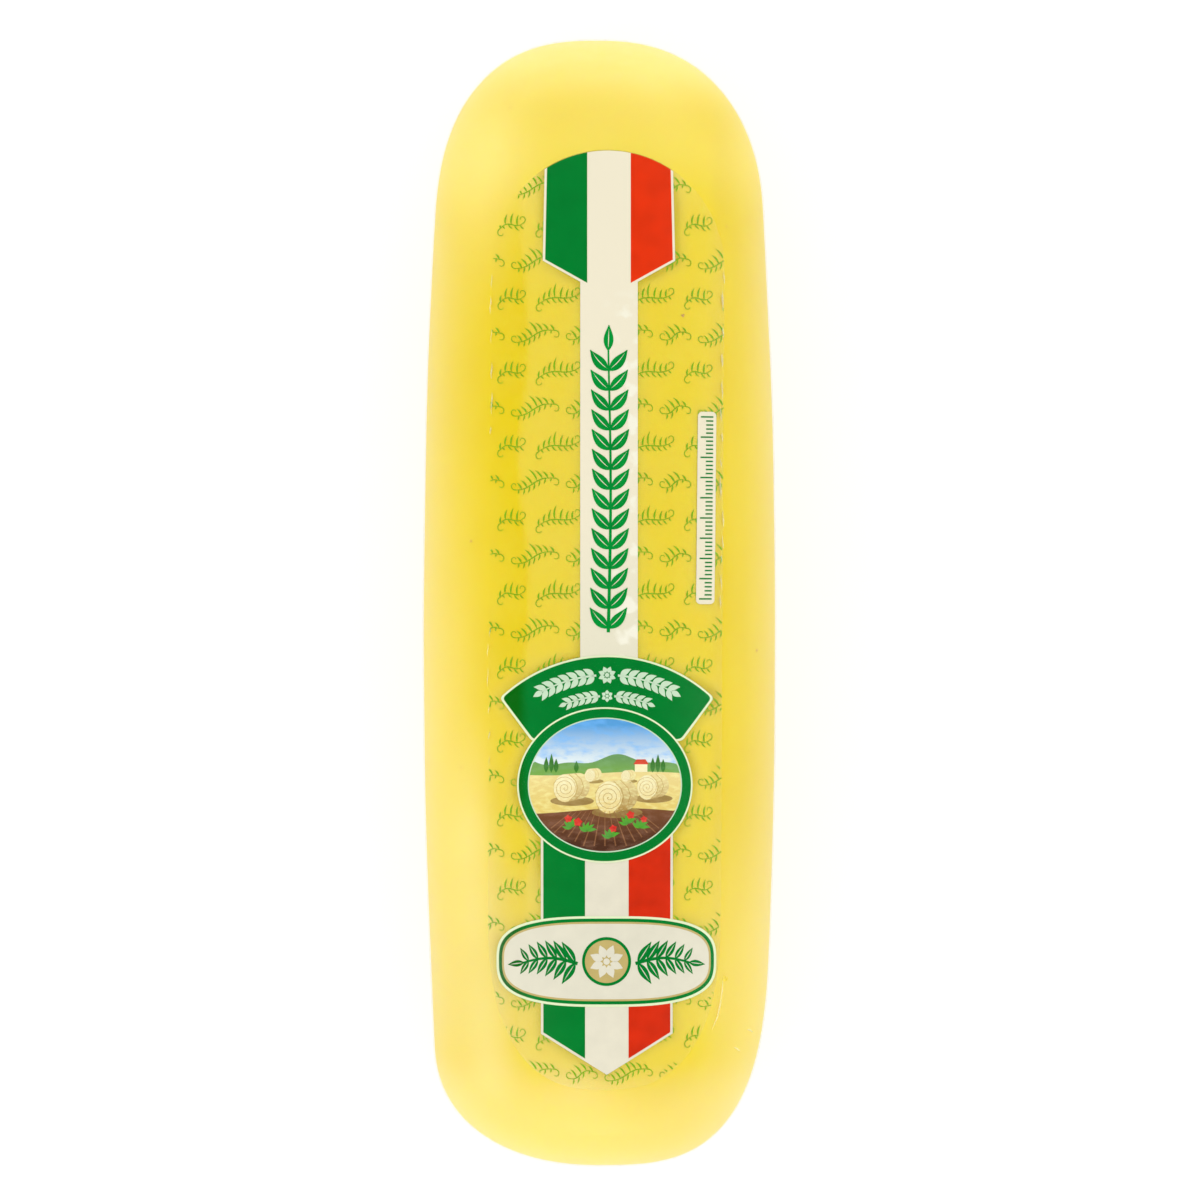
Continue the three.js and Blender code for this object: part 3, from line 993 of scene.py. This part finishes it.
hay = picture_ink("hay_side", (0.90, 0.76, 0.36), (0.42, 0.24, 0.05), 4 * MM, -10 * MM, size=1.6 * MM)
hay_end = picture_ink("hay_end", (0.96, 0.88, 0.52), (0.84, 0.66, 0.24), 4 * MM, -10 * MM, size=1.6 * MM)
hay_line = picture_ink("hay_shade", (0.58, 0.38, 0.09), (0.36, 0.20, 0.04), 3 * MM, -8 * MM)
shadow = picture_ink("bale_shadow", (0.42, 0.30, 0.09), (0.30, 0.18, 0.05), 3 * MM, -10 * MM)
add_layer(4, "picture_shadows", bale_shadows, shadow, large=True)
add_layer(5, "picture_bales", bales, hay, large=True)
add_layer(6, "picture_bale_ends", bale_ends, hay_end, large=True)
add_layer(7, "picture_bale_rings", bale_lines, hay_line, large=True)

# the trees' places and heights, the tufts' places and leans, and the poppies' places and sizes
TREES = ((-21.5, 5.6), (-19.6, 6.8), (-17.9, 5.0), (-10.5, 4.2), (17.4, 5.4), (19.3, 6.6), (21.2, 4.8))
TUFTS = ((-12, -15.5, 18), (-6.5, -17, -12), (8.5, -14.2, 10), (12.8, -15.8, -20), (2.2, -19.2, 4))
POPPIES = ((-13.4, -12.4, 1.5), (-9.9, -13.6, 1.7), (9.3, -11, 1.6), (14.2, -12.6, 1.3), (3, -16, 1.5))
greenery = bmesh.new()
for x, height in TREES:
    foot = in_picture(x, 4.6)
    leaf(greenery, foot, foot + Vector((0.1 * MM, height * MM)), 1.7 * MM)
for x, y, lean in TUFTS:
    foot = in_picture(x, y)
    for blade in (-2, -1, 0, 1, 2):
        tip = foot + pointing(math.radians(90 + lean + blade * 34)) * 3.6 * MM
        leaf(greenery, foot, tip, 1.3 * MM, bow=0.1)
tree_green = picture_ink("tree_green", (0.05, 0.20, 0.03), (0.10, 0.42, 0.03), 8 * MM, -14 * MM)
poppies = bmesh.new()
for x, y, size in POPPIES:
    heart = in_picture(x, y)
    for petal in range(5):
        leaf(poppies, heart, heart + pointing(petal * math.tau / 5 + x) * size * MM, size * 0.95 * MM)
roof = [in_picture(*point) for point in ((10.4, 7.6), (11.6, 9.4), (14.8, 9.4), (16.0, 7.6))]
flat_shape(list(reversed(roof)), poppies)
poppy_red = picture_ink("poppy_red", (0.68, 0.07, 0.03), (0.72, 0.03, 0.02), 6 * MM, -14 * MM)
walls = bmesh.new()
flat_shape([in_picture(*point) for point in ((10.9, 7.6), (10.9, 4.8), (15.5, 4.8), (15.5, 7.6))], walls)
furrows = bmesh.new()
for number in range(-7, 8):
    path = []
    for step in range(9):
        y = furrow_head(0) / MM - 0.9 - step * 1.6
        x = number * (1.7 + 0.28 * step)
        rim = PICTURE[0] / MM * math.sqrt(max(1 - (y * MM / PICTURE[1]) ** 2, 0)) - 0.4
        if abs(x) < rim:
            path.append(in_picture(x, y))
    if len(path) > 2:
        stroke(furrows, path, [(0.16 + 0.05 * step) * MM for step in range(len(path))])
furrow_light = picture_ink("furrow_ridge", (0.34, 0.15, 0.06), (0.22, 0.09, 0.035), -9 * MM, -22 * MM)
add_layer(8, "picture_ridges", furrows, furrow_light)
add_layer(9, "picture_leaves", greenery, tree_green)
add_layer(10, "picture_walls", walls, hay_end)
add_layer(11, "picture_poppies", poppies, poppy_red)

# ---- The badge ----
# A long rounded plate across the foot banner: cream, with a green rim and a tan line along it. In its middle
# is a tan roundel with a rosette, between two spreading sprays of green leaves.
BADGE = {"centre": (2.6 * MM, -132 * MM), "radii": (39.5 * MM, 15.8 * MM), "power": 3}
BADGE_LIFT = FIELD_LIFT + LAYER


def badge_outline(inset):
    radii = (BADGE["radii"][0] - inset, BADGE["radii"][1] - inset)
    return loop(BADGE["centre"], radii, 120, BADGE["power"])


tan = ink("tan_ink", (0.56, 0.44, 0.16))
badge_cream = ink("badge_cream", (0.775, 0.74, 0.59), clouding=0.03)
badge_layers = (
    ("badge_ground", -OUTLINE, outline_cream, "print_cream", ()),
    ("badge_green_rim", 0, green, "print_green", ("badge_rim",)),
    ("badge_tan_line", 1.2 * MM, tan, "print_tan", ()),
    ("badge_face", 1.9 * MM, badge_cream, "print_cream", ("badge_plate",)),
)
for level, (name, inset, colour, slot, nodes) in enumerate(badge_layers):
    print_field(name, badge_outline(inset), BADGE_LIFT + level * LAYER, colour, slot, *nodes)

ROUNDEL_RADIUS = 9 * MM
BADGE_TOP = BADGE_LIFT + 4 * LAYER
middle = Vector(BADGE["centre"])
rim = loop(middle, (ROUNDEL_RADIUS, ROUNDEL_RADIUS), 60)
print_field("roundel_rim", rim, BADGE_TOP, green, "print_green", "badge_medallion")
inner = ROUNDEL_RADIUS - 1.1 * MM
print_field("roundel_face", loop(middle, (inner, inner), 60), BADGE_TOP + LAYER, tan, "print_tan")
emblem = bmesh.new()
rosette(emblem, middle, 8, 1.5 * MM, 6.4 * MM, 3.0 * MM)
print_strokes("roundel_rosette", emblem, BADGE_TOP + 2 * LAYER, badge_cream, "print_cream")

SPRAY_PAIRS = 6
sprays = bmesh.new()
spray_ribs = bmesh.new()
for side in (-1, 1):
    stem = []
    for step in range(4 * SPRAY_PAIRS + 1):
        share = step / (4 * SPRAY_PAIRS)
        out, up = 10.6 + 20.5 * share, 2.0 * math.sin(math.pi * share) - 0.8
        stem.append(middle + Vector((side * out, up)) * MM)
    stroke(sprays, stem, [(1.3 - 0.6 * step / len(stem)) * MM for step in range(len(stem))])
    for pair in range(SPRAY_PAIRS):
        size = 1 - 0.075 * pair
        for swing in (-1, 1):
            reach = Vector((side * 4.9 * size, swing * 7.7 * size)) * MM
            foot = stem[4 * pair + 1]
            ribbed_leaf(sprays, spray_ribs, foot, foot + reach, 3.2 * size * MM)
    ribbed_leaf(sprays, spray_ribs, stem[-2], stem[-1] + Vector((side * 5.0 * MM, -0.6 * MM)), 2.4 * MM)
print_strokes("badge_sprays", sprays, BADGE_TOP, green, "print_green")
print_strokes("spray_midribs", spray_ribs, BADGE_TOP + LAYER, badge_cream, "print_cream")

# ---- The notice strip ----
# A narrow cream patch with rounded corners, beside the strip and along the log. A plain green rule with long
# and short ticks fills it.
NOTICE = {"x": 39.3 * MM, "head": 70.3 * MM, "foot": -0.6 * MM, "half": 3.4 * MM, "lean": 0.8 * MM}
NOTICE_CORNER = 1.6 * MM


def notice_outline():
    corners = []
    middle_y = (NOTICE["head"] + NOTICE["foot"]) / 2
    half_length = (NOTICE["head"] - NOTICE["foot"]) / 2
    for quarter, (side, end) in enumerate(((1, 1), (-1, 1), (-1, -1), (1, -1))):
        x = NOTICE["x"] + end * NOTICE["lean"] / 2 + side * (NOTICE["half"] - NOTICE_CORNER)
        y = middle_y + end * (half_length - NOTICE_CORNER)
        start = 90 * quarter
        corners += super_arc((x, y), (NOTICE_CORNER, NOTICE_CORNER), 2, start, start + 90, 6)
    return corners


print_field("notice_patch", notice_outline(), GROUND_LIFT, cream, "print_cream", "notice_strip")

TICKS = 46
LONG_TICK, SHORT_TICK, TICK_BREADTH = 4.6 * MM, 2.6 * MM, 0.55 * MM
RULE_MARGIN = 1.9 * MM  # from the patch's foot and head to the rule
rule = bmesh.new()
notice_length = NOTICE["head"] - NOTICE["foot"]
for tick in range(TICKS):
    up = RULE_MARGIN + tick * (notice_length - 2 * RULE_MARGIN) / (TICKS - 1)
    right = NOTICE["x"] + NOTICE["lean"] * (up / notice_length - 0.5) + 2.3 * MM
    length = LONG_TICK if tick % 5 == 0 else SHORT_TICK
    path = [Vector((right - length * step / 3, NOTICE["foot"] + up)) for step in range(4)]
    stroke(rule, path, [TICK_BREADTH] * 4)
print_strokes("notice_rule", rule, GROUND_LIFT + 1.5 * LAYER, green, "print_green")

# ---- The label film's own sheet ----
# The clear film that carries the prints. A soft dull halo of painted shade lies round each thick print's
# edge, and it is veiled paler but on its left margin, by air under it and by a soft box's painted reflection.
THICK_PRINTS = (
    "strip_ground",
    "foot_banner_ground",
    "title_ground",
    "ring_ground",
    "badge_ground",
    "notice_patch",
)
HALO = 2.8 * MM

prints = bmesh.new()
for name in THICK_PRINTS:
    prints.from_mesh(bpy.data.objects[name].data)
for vert in prints.verts:
    vert.co.z = 0
plan_of_prints = BVHTree.FromBMesh(prints)
prints.free()


def painted_shade_beside_prints(point):
    """How much painted shade darkens the film beside a thick print, from 0 to 1."""
    distance = plan_of_prints.find_nearest((point.x, point.y, 0))[3]
    y = point.y / MM
    strength = 0.14 + 0.3 * ease(104, 122, y) + 0.32 * ease(-4, -28, y) - 0.2 * ease(-92, -110, y)
    strength *= 1 + 0.7 * noise.noise(point / (17 * MM))
    return strength * math.exp(-((distance / HALO) ** 1.5))


def air_and_painted_reflection(point):
    """How much the label film is veiled paler: by air under it, most at its foot, and right of its left
    margin's wavy edge by a painted reflection.
    """
    foot = 1.1 * ease(-85, -110, point.y / MM) * ease(6, -16, point.x / MM)
    cloud = noise.noise(point / (14 * MM)) * 0.25 + noise.noise(point / (5 * MM)) * 0.12
    right = 0.2 * ease(2, 12, point.x / MM)
    return max(0.1 + 0.9 * right_of_painted_reflection_edge(point) - right + foot + cloud, 0.0)


def wandering(add, join, size, low, high, detail=2.0):
    """A value that wanders between two levels, in clouds of about that size."""
    return spread(add, join, grain(add, join, size, detail), 0.3, 0.7, low, high)


def shader_mix(add, join, factor, first, second):
    node = add("ShaderNodeMixShader")
    join(factor, node.inputs["Fac"])
    join(first, node.inputs[1])
    join(second, node.inputs[2])
    return node.outputs["Shader"]


def see_through(add, join, share, cover):
    """A cover that shows by that share, and lets what lies behind it through for the rest."""
    return shader_mix(add, join, share, add("ShaderNodeBsdfTransparent").outputs["BSDF"], cover)


def surface_of(material):
    return material.node_tree.nodes["Material Output"].inputs["Surface"]


label_mesh = laid(flat_shape(label_outline()), SHEET_LIFT, cell=(1.6 * MM, 2 * MM))
carry(label_mesh, "air_and_reflection", air_and_painted_reflection)
carry(label_mesh, "halo_shade", painted_shade_beside_prints)

sheet, face, add, join = new_material("label_sheet")
join(wandering(add, join, 25 * MM, 0.35, 0.5), face.inputs["Roughness"])
face.inputs["Specular IOR Level"].default_value = 0.1
air_and_reflection, halo_shade = layer_value(add, "air_and_reflection"), layer_value(add, "halo_shade")
# Painted shade: the sheet turns a dull olive in a soft halo round the thick prints.
halo_shade_share = spread(add, join, halo_shade, 0, 0.4)
join(colour_mix(add, join, halo_shade_share, (0.95, 0.92, 0.62), (0.50, 0.44, 0.16)), face.inputs["Base Color"])
# The veil's share: air under the sheet with the painted reflection, and the painted shade of the halo.
both = add("ShaderNodeMath", operation="ADD", use_clamp=True)
join(spread(add, join, air_and_reflection, 0, 3, 0.0, 0.12), both.inputs[0])
join(spread(add, join, halo_shade, 0, 1, 0.0, 0.22), both.inputs[1])
join(see_through(add, join, both.outputs["Value"], face.outputs["BSDF"]), surface_of(sheet))
add_piece("label_sheet", label_mesh, sheet, "label_film", "label_film")

# ---- Trapped air ----
# Where the bag steps down over the label's cut edge, the air left under it shows as thin broken pale lines.
# It also shows in one line along the label's heel, and in two small crinkles beside the heel.
AIR_LIFT = 0.56 * MM
random.seed(7)


def edge_place(y, side, offset):
    """A place beside the label's straight edge, in millimetres."""
    return Vector((label_middle(y * MM) + side * (LABEL_HALF + offset * MM), y * MM))


air_lines = bmesh.new()


def broken_line(side, start, stop, offset, breadth, steps=6):
    """Short bright bits of line along the label's edge, with gaps between them."""
    y = start
    while y < stop:
        length = random.uniform(2.5, 9)
        wander = random.uniform(-0.9, 0.2)
        path = []
        for step in range(steps + 1):
            path.append(edge_place(y + length * step / steps, side, offset + wander + 0.15 * math.sin(step)))
        peak = breadth * random.uniform(0.6, 1.2) * MM
        breadths = [peak * max(math.sin(math.pi * step / steps), 0.1) for step in range(steps + 1)]
        stroke(air_lines, path, breadths)
        y += length + random.uniform(1.5, 7)


broken_line(1, -2, 122, -0.4, 0.62)
broken_line(-1, 62, 118, -0.2, 0.5)
broken_line(-1, -60, -10, 0.1, 0.35)
LOOSE_LINES = (  # the points of the heel's line and of both crinkles, in millimetres
    ((45.3, -138.5), (45.0, -143), (44.3, -148), (43.2, -153), (41.2, -157.5)),
    ((49.2, -164.5), (49.8, -164.8), (50.4, -165.2), (51.0, -165.6), (51.6, -166.1)),
    ((54.2, -158.2), (54.8, -158.4), (55.4, -158.7), (56.0, -159.1), (56.5, -159.6)),
)
for places in LOOSE_LINES:
    path = [Vector(place) * MM for place in places]
    stroke(air_lines, path, [breadth * MM for breadth in (0.1, 0.45, 0.6, 0.45, 0.1)])

trapped_air, face, add, join = new_material("trapped_air")
face.inputs["Base Color"].default_value = (1, 0.94, 0.55, 1)
join(wandering(add, join, 3 * MM, 0.3, 0.5), face.inputs["Roughness"])
patchy = wandering(add, join, 2.2 * MM, 0.12, 0.4, detail=3)
join(see_through(add, join, patchy, face.outputs["BSDF"]), surface_of(trapped_air))
add_piece("air_lines", draped(air_lines, AIR_LIFT, LAYER), trapped_air, "label_film")

# ---- The shrink film ----
# A clear bag of barrier film, evacuated and shrunk onto the cheese. It clings to the log's back and is clear
# there. It is a little hazy in a loose band beside the label's foot and on the lower half, and it is gathered
# into pleats below its end seals.
FILM_LIFT = 0.62 * MM
FILM_LEVEL = 0.0
FILM_ROUGHNESS = 0.18
PLEAT_PITCH = 8.5 * MM
PLEAT_RISE = 0.45 * MM
HAZY_PATCHES = ((0.04, -52, -145, 22, 45),)  # given as the rind's patches are


def pleat_at(point):
    """How much the bag's film is gathered into a pleat here, under and beside its end seals, from 0 to 1."""
    near = ease(150, 198, abs(point.y) / MM) * ease(6, -14, rise_of(point))
    wave = math.sin(math.tau * point.x / PLEAT_PITCH + 3 * noise.noise(point / (32 * MM)))
    return near * max(wave, 0) ** 3


def haze_at(point):
    """How much more than clinging film the film reflects here, as a share of the light."""
    haze = 0.006 + 0.015 * ease(10, -15, rise_of(point)) + 0.09 * pleat_at(point)
    haze *= 1 + 0.6 * noise.noise(point / (20 * MM)) + 0.3 * noise.noise(point / (7 * MM))
    if point.z > EQUATOR:
        haze *= ease(-0.4, 2.4, -inside_label(point.x, point.y) / MM)
    return haze + 0.05 * loose_band(point) + patches(point, HAZY_PATCHES)


film_mesh = log_shell(FILM_LIFT, FILM_LEVEL, around=250, along=300)
carry(film_mesh, "haze", haze_at)
film_mesh.normal_update()
for vert in film_mesh.verts:
    vert.co += vert.normal * PLEAT_RISE * pleat_at(vert.co)

# What lies under the film shows through, dimly where it is hazy, under a gloss on its steep sides.
film, principled, add, join = new_material("shrink_film")
film.node_tree.nodes.remove(principled)
cloud = grain(add, join, 30 * MM)
scatter = add("ShaderNodeBsdfGlossy", distribution="GGX")
join(spread(add, join, cloud, 0.3, 0.7, 0.5, 0.6), scatter.inputs["Roughness"])
veiled = see_through(add, join, layer_value(add, "haze"), scatter.outputs["BSDF"])
gloss = add("ShaderNodeBsdfGlossy", distribution="GGX")
roughness = spread(add, join, cloud, 0.3, 0.7, FILM_ROUGHNESS, FILM_ROUGHNESS + 0.08)
join(roughness, gloss.inputs["Roughness"])
waves = grain(add, join, 22 * MM, detail=1, stretch=(1, 0.35, 1))
join(relief(add, join, waves, 0.4 * MM, 0.4), gloss.inputs["Normal"])
steep = add("ShaderNodeMath", operation="POWER")
join(add("ShaderNodeLayerWeight", Blend=0.5).outputs["Facing"], steep.inputs[0])
steep.inputs[1].default_value = 1.6
glossed = spread(add, join, steep.outputs["Value"], 0, 1, 0.002, 0.2)
join(shader_mix(add, join, glossed, veiled, gloss.outputs["BSDF"]), surface_of(film))
add_piece("shrink_film", film_mesh, film, "cheese", "cheese_in_film")

# ---- The bag's end seals ----
# Each end of the bag is welded shut by a ribbed bar, and its spare film lies folded on the lower half of the
# end. Several layers lie on each other there, so it is milkier than the rest.
SEAL = {"half": 37 * MM, "low": 25 * MM, "high": 37 * MM, "lift": 0.95 * MM, "thickness": 0.14 * MM}
SEAL_RELIEF = {"rags": 0.9 * MM, "ribs": 0.12 * MM, "fold": 0.25 * MM, "gathers": 0.3 * MM}
WELD_RIBS = 3
WELD_MIDDLE = 0.2  # up the flap, which goes from -1 at its foot to 1 at its fold


def end_point(x, z, end, lift):
    """The point of the skin at a place of the head's or the foot's end view."""
    inside, outside = 0.0, LENGTH / 2 + lift
    for halving in range(32):
        y = (inside + outside) / 2
        width, rise = section(end * y, x > 0, z > EQUATOR, lift)
        reach = 2
        if min(width, rise) > 0.01 * MM:
            reach = (abs(x) / width) ** SECTION_POWER + (abs(z - EQUATOR) / rise) ** SECTION_POWER
        if reach < 1:
            inside = y
        else:
            outside = y
    return Vector((x, end * inside, z))


def weld_ribs(up):
    """The welded bar's fine ribs, from 0 to 1, at a height of the flap."""
    off_middle = up - WELD_MIDDLE
    return max(math.sin(math.tau * WELD_RIBS * off_middle), 0) * ease(0.36, 0.3, abs(off_middle))


seals = bmesh.new()
seal_haze = seals.verts.layers.float.new("haze")
for end in (1, -1):
    made = bmesh.ops.create_grid(seals, x_segments=96, y_segments=36, size=1)["verts"]
    for vert in made:
        across, up = vert.co.x, vert.co.y
        x = across * SEAL["half"]
        ragged = SEAL_RELIEF["rags"] * noise.noise(Vector((x / (9 * MM), end, up)))
        ear = 1 - 0.45 * ease(0.8, 1, abs(across))  # the skirt under the fold narrows towards both its ends
        z = SEAL["high"] + (SEAL["low"] - SEAL["high"]) * (1 - up) / 2 * ear + ragged
        weld = weld_ribs(up)
        fold = SEAL_RELIEF["fold"] * ease(0.8, 0.95, up)
        gather = noise.noise(Vector((x / (5 * MM), 0.4 * up, 3 * end)))
        relief_here = SEAL_RELIEF["ribs"] * weld + fold + SEAL_RELIEF["gathers"] * gather
        vert.co = end_point(x, z, end, SEAL["lift"] + relief_here)
        vert[seal_haze] = 0.02 + 0.22 * weld + 0.1 * ease(0.88, 1, up) + 0.09 * max(gather, 0)
    if end > 0:
        faces = {face for vert in made for face in vert.link_faces}
        bmesh.ops.reverse_faces(seals, faces=list(faces))
seals.normal_update()
bmesh.ops.solidify(seals, geom=seals.faces[:], thickness=SEAL["thickness"])

welded, face, add, join = new_material("welded_film")
face.inputs["Base Color"].default_value = (0.97, 0.96, 0.88, 1)
join(wandering(add, join, 8 * MM, 0.2, 0.35), face.inputs["Roughness"])
join(see_through(add, join, layer_value(add, "haze"), face.outputs["BSDF"]), surface_of(welded))
add_piece("end_seals", seals, welded, "cheese", "cheese_in_film")

# ---- Floor and lights ----
# A white table top in a white tent. The tent's walls are brighter than its roof, above all those that the
# log's ends face, and two dim soft boxes stand beside it.
TABLE_HALF = 4.0
TABLE_LEVEL = -0.2 * MM
floor_mesh = bmesh.new()
bmesh.ops.create_grid(floor_mesh, x_segments=8, y_segments=8, size=TABLE_HALF)
bmesh.ops.translate(floor_mesh, verts=floor_mesh.verts, vec=(0, 0, TABLE_LEVEL))
floor_data = bpy.data.meshes.new("table_top")
floor_mesh.to_mesh(floor_data)
floor_mesh.free()
white, face, add, join = new_material("white_table")
greys = colour_mix(add, join, grain(add, join, 300 * MM), (0.44, 0.44, 0.44), (0.46, 0.46, 0.46))
join(greys, face.inputs["Base Color"])
face.inputs["Roughness"].default_value = 0.9
face.inputs["Specular IOR Level"].default_value = 0.0
face.inputs["Emission Color"].default_value = (1, 1, 1, 1)
face.inputs["Emission Strength"].default_value = 0.64
floor_data.materials.append(white)
floor = bpy.data.objects.new("table_top", floor_data)
bpy.context.scene.collection.objects.link(floor)

world = bpy.data.worlds.new("white_tent")
world.use_nodes = True
tent = world.node_tree.nodes["Background"]
tent.inputs["Color"].default_value = (1, 1, 1, 1)
ROOF, WALLS, END_WALLS = 0.81, 1.25, 1.12  # brightness, the last of them on top of the walls'
ROOF_START = 0.7  # the rise of a direction where the tent's walls have become its roof

add, join = node_adder(world.node_tree), world.node_tree.links.new
axes = add("ShaderNodeSeparateXYZ")
join(add("ShaderNodeTexCoord").outputs["Generated"], axes.inputs["Vector"])
walls_to_roof = spread(add, join, axes.outputs["Z"], 0, ROOF_START, WALLS, ROOF)
towards_ends = add("ShaderNodeMath", operation="POWER")
join(product(add, join, axes.outputs["Y"], axes.outputs["Y"]), towards_ends.inputs[0])
towards_ends.inputs[1].default_value = 3
total = add("ShaderNodeMath", operation="MULTIPLY_ADD")
join(towards_ends.outputs["Value"], total.inputs[0])
total.inputs[1].default_value = END_WALLS
join(walls_to_roof, total.inputs[2])
join(total.outputs["Value"], tent.inputs["Strength"])
bpy.context.scene.world = world


BOX_SIZE = (1.6, 3.0)


def softbox(name, place, brightness):
    """A soft box that faces the log, with a diffuser of that brightness."""
    light = bpy.data.lights.new(name, "AREA")
    light.shape = "RECTANGLE"
    light.size, light.size_y = BOX_SIZE
    light.energy = 4 * brightness * BOX_SIZE[0] * BOX_SIZE[1]
    lamp = bpy.data.objects.new(name, light)
    lamp.location = place
    lamp.rotation_euler = (Vector((0, 0, 0.05)) - Vector(place)).to_track_quat("-Z", "Y").to_euler()
    lamp.visible_camera = False
    bpy.context.scene.collection.objects.link(lamp)


softbox("right_box", (2.4, 0, 1.2), 0.35)
softbox("left_box", (-2.0, -1.5, 1.2), 0.7)
